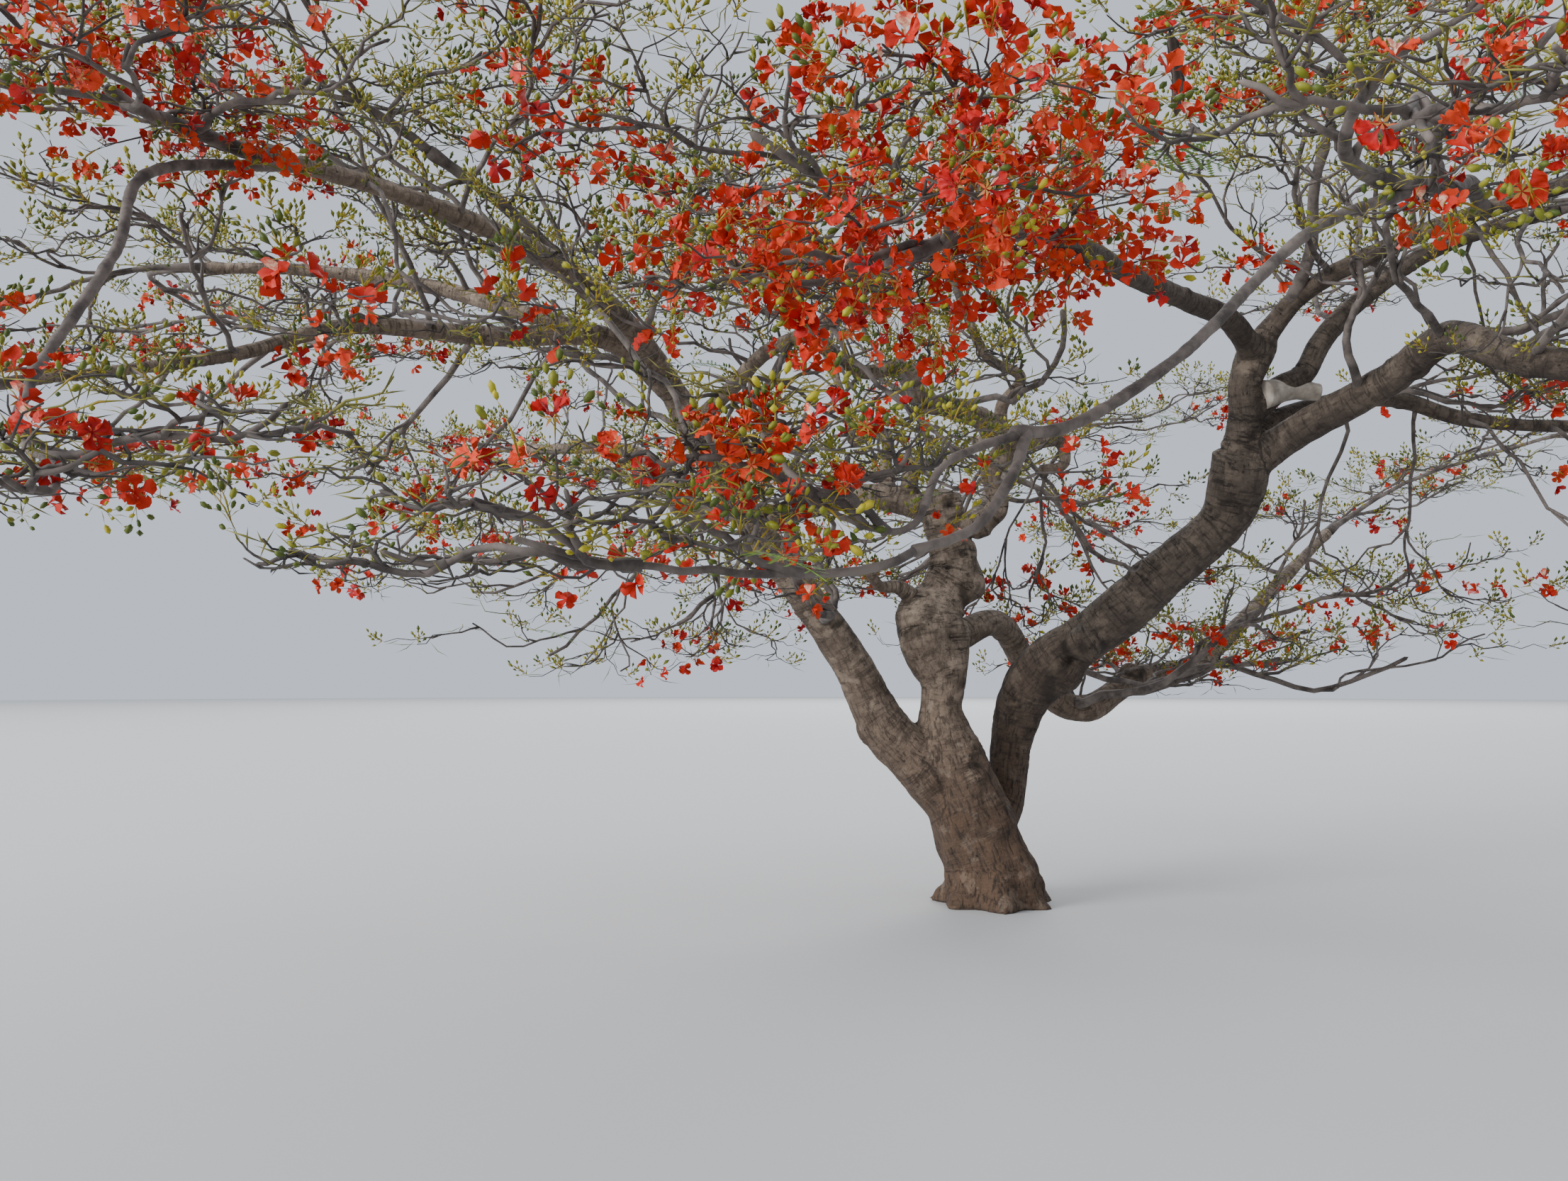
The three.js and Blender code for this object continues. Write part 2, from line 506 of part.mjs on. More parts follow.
// What shoots keep clear of: the trunk, the limbs, and the stems of the other masses, all grown by
// the clearance.
const obstacles = [
  { grown: trunkSolid(trunkCurve, LIMB_CLEARANCE) },
  ...LIMBS.map((limb) => ({ grown: limbSolid(limb, curves.get(limb.name), LIMB_CLEARANCE) })),
  ...stems.map(({ mass, stem }) => ({ mass, grown: twigSolid(stem, LIMB_CLEARANCE) })),
];

// One mass: its stem, the shoots that branch from it, and what their ends bear, fused together.
function massSolid({ mass, stem }) {
  const pieces = [twigSolid(stem)];
  let bearing = [stem];
  while (bearing.length && bearing[0].level < CHILDREN.length) {
    const grown = [];
    for (const shoot of bearing.flatMap((parent) => childShoots(mass, parent))) {
      const twig = twigSolid(shoot);
      if (!fits(mass, shoot, twig, ROOT_REACH)) continue;
      grown.push(shoot);
      pieces.push(twig);
      if (shoot.level < CHILDREN.length) continue;
      const tuft = tuftSolid(mass, shoot);
      if (fits(mass, shoot, tuft, 0)) pieces.push(tuft);
    }
    bearing = grown;
  }
  return largestBody(solid(geometryOf(wasm.Manifold.union(pieces))));
}

// A named mesh of a solid, with its material.
function meshOf(name, made, look) {
  const geometry = geometryOf(made);
  geometry.computeVertexNormals();
  const mesh = new THREE.Mesh(geometry, new THREE.MeshStandardMaterial(look));
  mesh.name = name;
  return mesh;
}

const tree = new THREE.Group();
tree.name = "flame_tree";
for (const [name, made] of skeleton) tree.add(meshOf(name, made, name === "trunk" ? BARK : YOUNG_BARK));
for (const { mass, stem } of stems)
  tree.add(meshOf(mass.name, massSolid({ mass, stem }), mass.bloom > MOSTLY_BLOOM ? BLOOM : BUDS));

export default tree;
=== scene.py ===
"""A flame tree in blossom: grey crooked boughs from a short leaning trunk, a wide web of dark twigs, scarlet
flowers with one streaked petal each, green and yellow buds, and a few ferny leaves. Metres, +Z up."""

import functools
import json
import math
from collections import namedtuple
from types import SimpleNamespace

import bpy
import numpy as np
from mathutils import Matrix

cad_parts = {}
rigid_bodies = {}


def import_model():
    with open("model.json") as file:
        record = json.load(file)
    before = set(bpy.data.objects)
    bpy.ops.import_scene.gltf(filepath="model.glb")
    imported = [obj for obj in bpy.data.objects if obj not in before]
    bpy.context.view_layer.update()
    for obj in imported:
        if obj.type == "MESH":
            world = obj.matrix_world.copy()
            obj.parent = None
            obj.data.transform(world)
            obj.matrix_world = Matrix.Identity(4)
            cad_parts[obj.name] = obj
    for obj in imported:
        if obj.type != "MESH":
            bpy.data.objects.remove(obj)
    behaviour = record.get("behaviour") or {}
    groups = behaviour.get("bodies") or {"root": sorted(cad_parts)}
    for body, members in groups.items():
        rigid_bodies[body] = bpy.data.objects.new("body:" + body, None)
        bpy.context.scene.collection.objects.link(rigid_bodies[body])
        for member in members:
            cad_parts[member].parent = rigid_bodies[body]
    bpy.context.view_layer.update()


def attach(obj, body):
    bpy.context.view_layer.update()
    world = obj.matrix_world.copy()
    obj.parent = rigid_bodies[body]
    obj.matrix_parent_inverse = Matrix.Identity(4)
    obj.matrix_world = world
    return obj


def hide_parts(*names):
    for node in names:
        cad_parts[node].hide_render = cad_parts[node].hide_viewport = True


bl_info = {
    "name": "Flame tree",
    "version": (1, 0, 0),
    "blender": (4, 5, 0),
    "location": "View3D > Sidebar > Flame tree",
    "description": "Builds a flame tree in blossom around its packed solids",
    "category": "Add Mesh",
}

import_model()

TURN = 2 * math.pi
GOLDEN_ANGLE = math.pi * (3 - math.sqrt(5))
UP = np.array([0.0, 0.0, 1.0])
AHEAD = np.array([0.0, 1.0, 0.0])
RIGHT = np.array([1.0, 0.0, 0.0])
TOWARDS_VIEWER = -AHEAD

# A direction whose share along UP is above this is taken as upright
STEEP = 0.9

# The photograph's frame and camera
PHOTO_WIDTH = 2212
FOCAL_PIXELS = 1660
FILM_WIDTH_MM = 36
EYE = (-1.57, -9.0, 1.65)
TILT_UP_DEGREES = 4.44

# The trunk: the points its middle passes through, its radius at each, and its ribbed root flare
TRUNK_THROUGH = (
    (0, 0, 0), (0, 0, 0.15), (-0.05, 0, 0.35), (-0.19, 0, 0.7), (-0.33, 0, 1.1), (-0.37, 0.02, 1.45),
    (-0.35, 0.04, 1.65), (-0.41, 0.06, 1.95), (-0.43, 0.08, 2.15), (-0.34, 0.09, 2.33), (-0.25, 0.1, 2.5),
    (-0.29, 0.1, 2.75), (-0.35, 0.1, 3.08),
)
TRUNK_RADII = (0.43, 0.35, 0.312, 0.3, 0.27, 0.155, 0.17, 0.285, 0.265, 0.175, 0.18, 0.16, 0.165)
RIBS = 7
RIB_DEPTH = 0.14
RIB_HEIGHT = 0.26

# How a limb's root swells into its parent and how its tip swells into a knuckle
COLLAR_SWELL = 0.35
COLLAR_LENGTH = 3
KNUCKLE_SWELL = 0.3
KNUCKLE_LENGTH = 2

# A limb: its parent, the share of the parent's length at which it leaves, its radii at even steps from root
# to tip, the points it passes through, and how much it swells where it leaves
Limb = namedtuple("Limb", "name parent at radii through collar", defaults=(COLLAR_SWELL,))
LIMBS = (
    Limb("left_bough", "trunk", 0.22, (0.2, 0.158, 0.128, 0.113, 0.098, 0.078, 0.058, 0.047, 0.036),
         ((-0.48, -0.01, 0.99), (-0.8, -0.05, 1.3), (-1.1, -0.15, 1.85), (-1.95, -0.6, 3),
          (-2.5, -1.2, 3.88), (-2.9, -2.1, 4.13), (-3.5, -3.3, 4.08), (-3.85, -4, 3.95)), collar=0.45),
    Limb("left_upper_bough", "left_bough", 0.68, (0.042, 0.03),
         ((-3.2, -2.3, 4.42), (-3.55, -2.65, 4.6))),
    Limb("left_low_bough", "left_bough", 0.53, (0.08, 0.07, 0.052, 0.034, 0.026),
         ((-2.75, -1.3, 3.93), (-3.4, -1.8, 3.8), (-4.05, -2.4, 3.68), (-4.45, -3, 3.34),
          (-4.95, -3.95, 2.95))),
    Limb("left_middle_bough", "left_low_bough", 0.16, (0.06, 0.056, 0.044, 0.036),
         ((-3.3, -1.4, 4.08), (-3.95, -1.2, 4.32), (-4.8, -1.25, 4.42), (-5.4, -1.4, 4.38))),
    Limb("left_drooping_limb", "left_bough", 0.97, (0.024, 0.017),
         ((-4, -4.65, 3.58), (-3.9, -5, 3.15), (-3.87, -5.45, 2.6))),
    Limb("left_crossing_limb", "left_bough", 0.485, (0.058, 0.046, 0.034),
         ((-1.9, -1.6, 3.53), (-1.68, -2.2, 3.58), (-1.32, -2.9, 3.56), (-1.12, -3.4, 3.62))),
    Limb("back_left_bough", "trunk", 0.965, (0.1, 0.086, 0.076, 0.062, 0.046),
         ((-0.9, 0.3, 3.13), (-1.6, 0.7, 3.05), (-2.45, 1.1, 3.2), (-2.85, 1.6, 3.7), (-4.2, 3, 4.05))),
    Limb("crooked_arm", "back_left_bough", 0.085, (0.054, 0.046, 0.032),
         ((-0.76, 0.26, 3.38), (-0.74, 0.3, 3.58), (-0.86, 0.33, 3.64), (-1.01, 0.36, 3.58),
          (-1.04, 0.4, 3.76), (-1.15, 0.7, 4.25))),
    Limb("sawn_stub", "back_left_bough", 0.05, (0.058, 0.054),
         ((-0.58, 0.14, 3.24), (-0.53, 0.14, 3.38))),
    Limb("elbow_arm", "trunk", 0.94, (0.078, 0.084, 0.076, 0.076),
         ((-0.06, -0.03, 2.87), (0.06, -0.09, 3), (0.01, -0.12, 3.25), (0.18, -0.2, 3.46)), collar=0.15),
    Limb("long_arm", "elbow_arm", 0.97, (0.084, 0.078, 0.07, 0.05, 0.04),
         ((-0.05, -0.4, 3.56), (-0.4, -0.75, 3.6), (-0.62, -0.95, 3.6), (-0.75, -1.1, 3.78),
          (-1.05, -1.3, 3.71), (-1.35, -1.65, 3.8)), collar=0.1),
    Limb("hooked_arm", "elbow_arm", 0.97, (0.058, 0.05, 0.034),
         ((0.38, -0.1, 3.48), (0.57, 0, 3.5), (0.6, 0.02, 3.33), (0.42, 0.04, 3.29)), collar=0.1),
    Limb("forked_arm", "long_arm", 0.07, (0.048, 0.04, 0.032),
         ((0.06, -0.32, 3.7), (0.17, -0.5, 3.88), (-0.1, -0.65, 3.99), (-0.3, -0.72, 4.4))),
    Limb("back_right_bough", "trunk", 0.61, (0.104, 0.104, 0.114, 0.098, 0.084, 0.066, 0.046),
         ((0.02, 0.32, 2.11), (0.24, 0.64, 2.08), (0.5, 0.92, 1.75), (0.78, 1.06, 1.47), (1.05, 1.16, 1.43),
          (1.55, 1.5, 1.68), (2.2, 1.9, 1.8), (3.3, 2.6, 2.6), (4.1, 3.2, 3.2)), collar=0.2),
    Limb("broken_limb", "trunk", 0.7, (0.054, 0.036),
         ((-0.7, -0.1, 2.37), (-0.86, -0.2, 2.37), (-0.94, -0.29, 2.5))),
    Limb("back_bough", "trunk", 0.91, (0.09, 0.084, 0.072, 0.058, 0.046),
         ((0, 0.45, 2.98), (0.25, 1, 3.3), (0.55, 1.8, 3.72), (0.72, 2.7, 4.05), (0.65, 4.2, 4.4))),
    Limb("right_bough", "trunk", 0.12, (0.15, 0.152, 0.154, 0.208, 0.184, 0.184, 0.172, 0.162, 0.148),
         ((0.16, 0.28, 0.75), (0.21, 0.32, 1.15), (0.31, 0.22, 1.54), (0.5, 0, 1.83),
          (0.85, -0.2, 2.09), (1.27, -0.45, 2.5), (1.59, -0.61, 2.82), (1.66, -0.8, 3.22)), collar=0),
    Limb("right_upright_bough", "right_bough", 0.97, (0.12, 0.104, 0.092),
         ((1.65, -0.9, 3.52), (1.63, -0.96, 3.72), (1.74, -1, 4.02)), collar=0.15),
    Limb("right_front_bough", "right_upright_bough", 0.88, (0.074, 0.064, 0.052, 0.04),
         ((1.37, -1.4, 4.03), (0.95, -1.9, 3.98), (0.22, -3, 3.78), (-0.25, -3.9, 3.58), (-0.6, -4.5, 3.4))),
    Limb("right_upper_bough", "right_upright_bough", 0.97, (0.068, 0.056, 0.042),
         ((1.93, -1.2, 4.26), (2.33, -1.8, 4.42), (2.9, -2.5, 4.48), (3.25, -3, 4.48))),
    Limb("right_far_bough", "right_upright_bough", 0.42, (0.084, 0.076, 0.066, 0.054, 0.042),
         ((1.9, -0.92, 3.7), (2.06, -0.9, 3.79), (2.2, -0.9, 4.03), (2.45, -0.9, 4.3),
          (3, -0.9, 4.68), (3.9, -0.9, 4.98))),
    Limb("right_sawn_stub", "right_far_bough", 0.1, (0.072, 0.06),
         ((2.08, -0.9, 3.69), (2.17, -0.9, 3.67))),
    Limb("right_vertical_limb", "right_upper_bough", 0.12, (0.044, 0.03),
         ((1.9, -1.45, 4.5), (1.84, -1.65, 4.8), (1.85, -1.8, 5.05))),
    Limb("right_arch_bough", "right_bough", 0.975, (0.116, 0.108, 0.092, 0.07, 0.048),
         ((1.95, -1, 3.36), (2.38, -1.5, 3.62), (2.52, -1.9, 3.76), (2.7, -2.4, 3.48),
          (3.6, -3.1, 3.25), (4.5, -3.65, 3.25)), collar=0.15),
    Limb("right_low_bough", "right_bough", 0.98, (0.084, 0.066, 0.05, 0.038),
         ((1.92, -0.7, 3.48), (2.3, -0.6, 3.64), (2.95, -0.42, 3.74), (3.45, -0.4, 3.6),
          (4.25, -0.4, 3.54), (5, -0.6, 3.58))),
    Limb("near_bough", "right_upper_bough", 0.6, (0.044, 0.034),
         ((2.1, -2.9, 4.3), (1.3, -4, 3.8), (0.9, -4.25, 3.74))),
    Limb("sweeping_limb", "near_bough", 0.88, (0.026, 0.02),
         ((0.57, -4.4, 3.47), (-0.17, -4.9, 2.8), (-0.65, -5.2, 2.48), (-0.84, -5.3, 2.44))),
    Limb("low_sweeping_limb", "sweeping_limb", 0.98, (0.018, 0.014),
         ((-0.87, -5.42, 2.28), (-1, -5.54, 2.11), (-1.2, -5.68, 2.02))),
    Limb("low_forked_limb", "sweeping_limb", 0.98, (0.015, 0.012),
         ((-0.98, -5.4, 2.37), (-1.1, -5.5, 2.29), (-1.16, -5.58, 2.16))),
    Limb("right_hanging_limb", "near_bough", 0.8, (0.024, 0.016),
         ((0.75, -4.9, 3.62), (0.4, -5.5, 3.38), (0.15, -5.9, 3.22))),
)

# A mass: the limb it grows from, the middle and the half sizes of its own space, the share of its twig groups
# that bear flowers, the share of their twigs that don't, how many shoots leave its stem, and its thick clump
# of flowers: the clump's place across and up in the mass's space, and its reach, as shares of the half sizes
Mass = namedtuple("Mass", "name limb middle half bloom sparse shoots clump", defaults=(0.3, 4, (0, 0, 0)))
MASSES = (
    Mass("centre_front_blossom", "right_front_bough", (-1.25, -5.45, 3.08), (0.95, 0.75, 0.6),
         0.14, 0.05, 4, (0.13, -0.34, 0.82)),
    Mass("upper_left_blossom", "left_bough", (-3.95, -5, 3.88), (1.25, 0.95, 0.6),
         0.08, 0.0, 4, (-0.1, -0.48, 0.7)),
    Mass("low_left_blossom", "left_drooping_limb", (-3.35, -6, 2.3), (0.85, 0.6, 0.48),
         0.02, 0.5, 3, (-0.1, 0.0, 0.3)),
    Mass("low_front_blossom", "low_forked_limb", (-1.65, -5.85, 2.33), (0.56, 0.4, 0.33),
         0.06, 0.48, 3, (0.02, -0.62, 0.6)),
    Mass("low_sweep_blossom", "low_sweeping_limb", (-2.2, -6.25, 2.08), (0.7, 0.45, 0.38),
         0.02, 0.55, 3, (0.12, 0.42, 0.5)),
    Mass("right_near_blossom", "near_bough", (0.5, -5.25, 3.9), (1.3, 1, 0.52),
         0.09, 0.4, 4, (0.05, -0.5, 0.4)),
    Mass("right_hanging_blossom", "right_hanging_limb", (-0.15, -6.5, 2.95), (0.7, 0.55, 0.45),
         0.04, 0.55, 3, (0.04, -0.25, 0.32)),
    Mass("top_centre_spray", "left_crossing_limb", (-1.7, -4.05, 4.15), (1.3, 0.9, 0.52),
         0.04, 0.3, 4, (-0.75, -0.4, 0.45)),
    Mass("top_left_spray", "left_upper_bough", (-3.9, -3.15, 4.85), (1.35, 0.95, 0.48), 0.12),
    Mass("left_front_spray", "left_low_bough", (-5.9, -4.5, 3.05), (1.3, 1.2, 0.55), 0.16),
    Mass("left_side_spray", "left_middle_bough", (-6.65, -1.7, 4.1), (1.45, 1.25, 0.6), 0.12),
    Mass("left_back_spray", "left_middle_bough", (-5.7, 0.7, 4.65), (1.4, 1.3, 0.55), 0.12),
    Mass("back_left_spray", "back_left_bough", (-5.3, 3.6, 4.05), (1.5, 1.4, 0.62), 0.2),
    Mass("back_left_far_spray", "back_left_bough", (-3.1, 5.4, 4.15), (1.5, 1.4, 0.62), 0.22),
    Mass("inner_left_spray", "crooked_arm", (-2.7, 0.8, 5.15), (1.35, 1.25, 0.52), 0.06),
    Mass("inner_back_spray", "crooked_arm", (-0.7, 2.1, 5.35), (1.35, 1.25, 0.52), 0.08),
    Mass("inner_front_spray", "long_arm", (-1.7, -1.75, 4.95), (1.3, 1.15, 0.54), 0.05),
    Mass("crown_top_spray", "forked_arm", (-0.1, -0.5, 5.6), (1.3, 1.25, 0.5), 0.1),
    Mass("back_right_spray", "back_right_bough", (5.1, 4, 3.7), (1.5, 1.4, 0.65), 0.24),
    Mass("right_back_spray", "back_right_bough", (5.9, 1.5, 4.15), (1.5, 1.3, 0.6), 0.2),
    Mass("back_spray", "back_bough", (0.4, 5.9, 4.25), (1.6, 1.4, 0.65), 0.22),
    Mass("back_inner_spray", "back_bough", (2.5, 4.2, 4.75), (1.45, 1.35, 0.58), 0.14),
    Mass("right_front_spray", "right_arch_bough", (5.5, -4.35, 3.4), (1.45, 1.3, 0.6), 0.26),
    Mass("right_side_spray", "right_low_bough", (6.3, -1.2, 3.65), (1.5, 1.35, 0.6), 0.2),
    Mass("right_upper_spray", "right_upper_bough", (3.9, -3.3, 4.75), (1.25, 1.15, 0.5), 0.2),
    Mass("front_right_blossom", "right_upper_bough", (3, -5.1, 3.95), (1.3, 1.15, 0.56), 0.35),
    Mass("right_far_spray", "right_far_bough", (4.9, -0.9, 5.15), (1.3, 1.15, 0.5), 0.14),
    Mass("inner_right_spray", "right_far_bough", (3.3, 1.4, 5.35), (1.4, 1.25, 0.52), 0.1),
    Mass("top_right_spray", "right_vertical_limb", (1.7, -2.2, 5.45), (1.25, 1.1, 0.48), 0.2),
)

# What each seeded number is drawn for
DRAW = SimpleNamespace(
    phase=1, turn=2, lift=3, bloom=4, first=7, last=8, bend=11, side=18, bare=19, buds=20, lean=21, reach=23,
    head=24, there=25, kink=31, petal=31, spin=32, head_tint=33, streak=34, tint=35, stalk=42, bud_axis=43,
    bud=51, bud_head_tint=52, bud_tint=53, leafy=61, leaf=62, shoot_place=70, shoot_turn=71, hangs=72,
    shoot_length=73, shoot_girth=74)

# The seeded rule by which shoots branch: the waves behind each seeded number, how far shoots turn, lift and
# reach, where they leave their parents, how a stem starts, and how clear shoots stay of the wood and of the
# other masses' spaces
LABEL_WAVE = 12.9898
DRAW_WAVE = 78.233
WAVE_HEIGHT = 43758.5453
FIRST_LABEL = 1000
LABEL_STEP = 6
TURN_PLAY = 0.5
REACH = 0.97
LIFT = 0.7
FIRST_FORK = 0.25
LAST_FORK = 0.92
FORK_PLAY = 0.2
FORWARD = 0.35
STEM = 0.95
PAIR_STEM = 0.55
PAIR_OFFSET = 0.68
STEM_BEND = 0.45
STEM_LIFT = -0.25
JOIN_GAP = 0.00035
SPACE_MARGIN = 0.06
ROOT_REACH = 0.35
CLEARANCE = 0.03
TWIG_CLEARANCE = 0.006
CLEAR_FROM = 0.12

# The levels of shoots that are asked for by number, stems being level 0: the groups of twigs that flower
# together, the twigs whose ends bear heads, sprays and leaves, and the finest twigs
GROUP_LEVEL = 3
TWIG_LEVEL = 4
FINEST_LEVEL = 5

# What each step down from a stem draws: how many shoots, how far each steps from its parent's part of the
# space, and how much smaller its own part is. The first two steps are the solids' own.
CHILDREN = (4, 2, 3, 4, 3)
SPREADS = (0.58, 0.58, 0.85, 0.95, 1.0)
SHRINKS = (0.56, 0.56, 0.7, 0.7, 0.7)

# Each level's thickness against its parent's, its thinnest radius, how many places its path has, how many
# sides its tube has, and how far it wanders and kinks as a share of its length, then how much a shoot tapers,
# flares where it leaves and rises at its tip
THICKNESS = (1, 0.64, 0.62, 0.66, 0.68, 0.7)
THINNEST = (0.018, 0.0135, 0.0105, 0.0074, 0.005, 0.0033)
PLACES = (16, 12, 9, 7, 5, 3)
ROUND = (10, 7, 5, 4, 3, 3)
WANDERS = (0.02, 0.06, 0.09, 0.1, 0.1, 0.1)
KINKS = (0.006, 0.014, 0.022, 0.03, 0.03, 0.0)
TIP_TAPER = 0.4
FLARE = 0.4
FLARE_LENGTH = 3
STEM_FLARE = 3
WIDEST_FLARE = 0.8
TIP_RISE = 0.45

# Side shoots of the limbs between their forks: how far apart, between which shares of the limb, how many
# shoots each step down has, how many flower, how long they are (least and more), the half sizes of each one's
# space as shares of its length, how clear they stay of the wood, and the share of them that hangs
SPRAY_GAP = 0.31
SPRAY_START = 0.2
SPRAY_STOP = 0.97
SPRAY_CHILDREN = (3, 2, 3, 2)
SPRAY_BLOOM = 0.07
SPRAY_SPARSE = 0.35
HANGING_BLOOM = 0.3
SPRAY_LABEL = 700000
SPRAY_LENGTH = (0.65, 0.85)
HANGING_LENGTH = (0.9, 0.8)
SPRAY_HALF = (0.6, 0.6, 0.34)
SPRAY_CLEARANCE = 0.02
SPRAY_CLEAR_FROM = 0.25
HANGING_SHARES = {
    "back_bough": 0.8, "back_right_bough": 0.55, "hooked_arm": 0.8, "back_left_bough": 0.5,
    "left_low_bough": 0.4, "left_middle_bough": 0.35, "right_low_bough": 0.35, "long_arm": 0.3,
}
HANGING_SHARE = 0.15
LOWEST_TIP = 1.85
BARE_LIMBS = (
    "sawn_stub", "broken_limb", "right_sawn_stub", "right_bough", "elbow_arm", "right_upright_bough",
    "right_front_bough", "near_bough", "sweeping_limb", "low_sweeping_limb", "low_forked_limb",
    "right_hanging_limb", "left_drooping_limb",
)

# How many of the masses are near the viewer, and the share of the twig groups in a clump that bear flowers
NEAR_MASSES = 7
CLUMP_BLOOM = 0.96

# The limbs of each bark skin, and the limb with a cut face
LEFT_FAMILY = (
    "trunk", "left_bough", "left_low_bough", "left_middle_bough", "left_crossing_limb", "back_left_bough",
    "crooked_arm", "sawn_stub", "elbow_arm", "long_arm", "hooked_arm", "forked_arm", "back_right_bough",
    "broken_limb", "back_bough",
)
RIGHT_FAMILY = (
    "right_bough", "right_upright_bough", "right_front_bough", "right_upper_bough", "right_far_bough",
    "right_arch_bough", "right_low_bough",
)
SAWN_LIMB = "right_sawn_stub"


def chance(label, draw):
    """A number from 0 to 1 for each label: the part after the point of a tall sine wave at that label."""
    wave = np.sin(np.asarray(label, float) * LABEL_WAVE + draw * DRAW_WAVE) * WAVE_HEIGHT
    return wave - np.floor(wave)


def unit(vectors):
    """Vectors of length 1 in the same directions."""
    return vectors / np.maximum(np.linalg.norm(vectors, axis=-1, keepdims=True), 1e-9)


def across(a, b):
    """What is left of each vector a once its share along the unit vector b is taken out."""
    return a - np.sum(a * b, axis=-1, keepdims=True) * b


def smooth_line(points, per_span=24):
    """A Catmull-Rom curve through the points: between two of them a cubic, whose slope at each end is set by
    the neighbours on both sides, with time running as the square root of the distance."""
    p = np.asarray(points, float)
    p = np.vstack([2 * p[0] - p[1], p, 2 * p[-1] - p[-2]])
    gap = np.sqrt(np.linalg.norm(np.diff(p, axis=0), axis=1))[:, None]
    x0, x1, x2, x3 = p[:-3], p[1:-2], p[2:-1], p[3:]
    d0, d1, d2 = gap[:-2], gap[1:-1], gap[2:]
    slope1 = ((x1 - x0) / d0 - (x2 - x0) / (d0 + d1) + (x2 - x1) / d1) * d1
    slope2 = ((x2 - x1) / d1 - (x3 - x1) / (d1 + d2) + (x3 - x2) / d2) * d1
    t = np.linspace(0, 1, per_span, endpoint=False)[:, None, None]
    square = 3 * (x2 - x1) - 2 * slope1 - slope2
    cube = 2 * (x1 - x2) + slope1 + slope2
    spans = x1 + t * slope1 + t**2 * square + t**3 * cube
    return np.vstack([spans.transpose(1, 0, 2).reshape(-1, 3), p[-2]])


class Wood:
    """The middle line of the trunk or a limb, with its length and its radius at any share of it."""

    def __init__(self, name, line, radii, collar=0.0, knuckle=0.0, by_point=False):
        self.name = name
        self.line = line
        steps = np.linalg.norm(np.diff(line, axis=0), axis=1)
        self.length = steps.sum()
        self.share = np.concatenate([[0], np.cumsum(steps)]) / self.length
        self.radii = np.array(radii)
        self.collar = collar
        self.knuckle = knuckle
        self.by_point = by_point

    def place(self, share):
        """The points at these shares of the length."""
        return np.stack([np.interp(share, self.share, self.line[:, k]) for k in range(3)], axis=-1)

    def heading(self, share, step=0.01):
        """The line's direction at these shares of the length."""
        return unit(self.place(np.minimum(share + step, 1)) - self.place(np.maximum(share - step, 0)))

    def radius(self, share):
        """The radius at these shares: the taper, a collar that fades out from the root and a knuckle, a bell
        curve round a place close to the tip."""
        share = np.asarray(share, float)
        along = np.interp(share, self.share, np.linspace(0, 1, len(self.share))) if self.by_point else share
        base, tip = self.radii[0], self.radii[-1]
        from_root, from_tip = share * self.length, (1 - share) * self.length
        collar = self.collar * base * np.exp(-from_root / (COLLAR_LENGTH * base))
        knuckle = self.knuckle * tip * np.exp(-(((from_tip - tip) / (KNUCKLE_LENGTH * tip)) ** 2))
        return np.interp(along, np.linspace(0, 1, len(self.radii)), self.radii) + collar + knuckle


@functools.lru_cache
def skeleton():
    """The trunk and every limb by name, each limb's line starting on its parent's."""
    woods = {"trunk": Wood("trunk", smooth_line(TRUNK_THROUGH), TRUNK_RADII, by_point=True)}
    for limb in LIMBS:
        root = woods[limb.parent].place(limb.at)
        line = smooth_line([root, *limb.through])
        woods[limb.name] = Wood(limb.name, line, limb.radii, limb.collar, KNUCKLE_SWELL)
    return woods


def carried_frames(paths, first=None):
    """Two directions square to each path at each of its places, carried along it without twist: each normal
    is the one before with its share along the path taken out. paths is shaped curves, places, 3."""
    heading = unit(np.gradient(paths, axis=1))
    if first is None:
        first = np.where(np.abs(heading[:, 0, 2:3]) < STEEP, UP, AHEAD)
    normals = np.empty_like(paths)
    normals[:, 0] = unit(across(first, heading[:, 0]))
    for k in range(1, paths.shape[1]):
        normals[:, k] = unit(across(normals[:, k - 1], heading[:, k]))
    return heading, normals, np.cross(normals, heading)


def circle(sides, a, b):
    """Evenly spaced directions round a circle that starts at a and turns towards b."""
    angle = TURN * np.arange(sides) / sides
    return np.cos(angle)[:, None] * a[..., None, :] + np.sin(angle)[:, None] * b[..., None, :]


def copies(shell, size, count):
    """One item's triangles, repeated for many items that each have the same number of vertices."""
    return (shell[None] + size * np.arange(count)[:, None, None]).reshape(-1, 3)


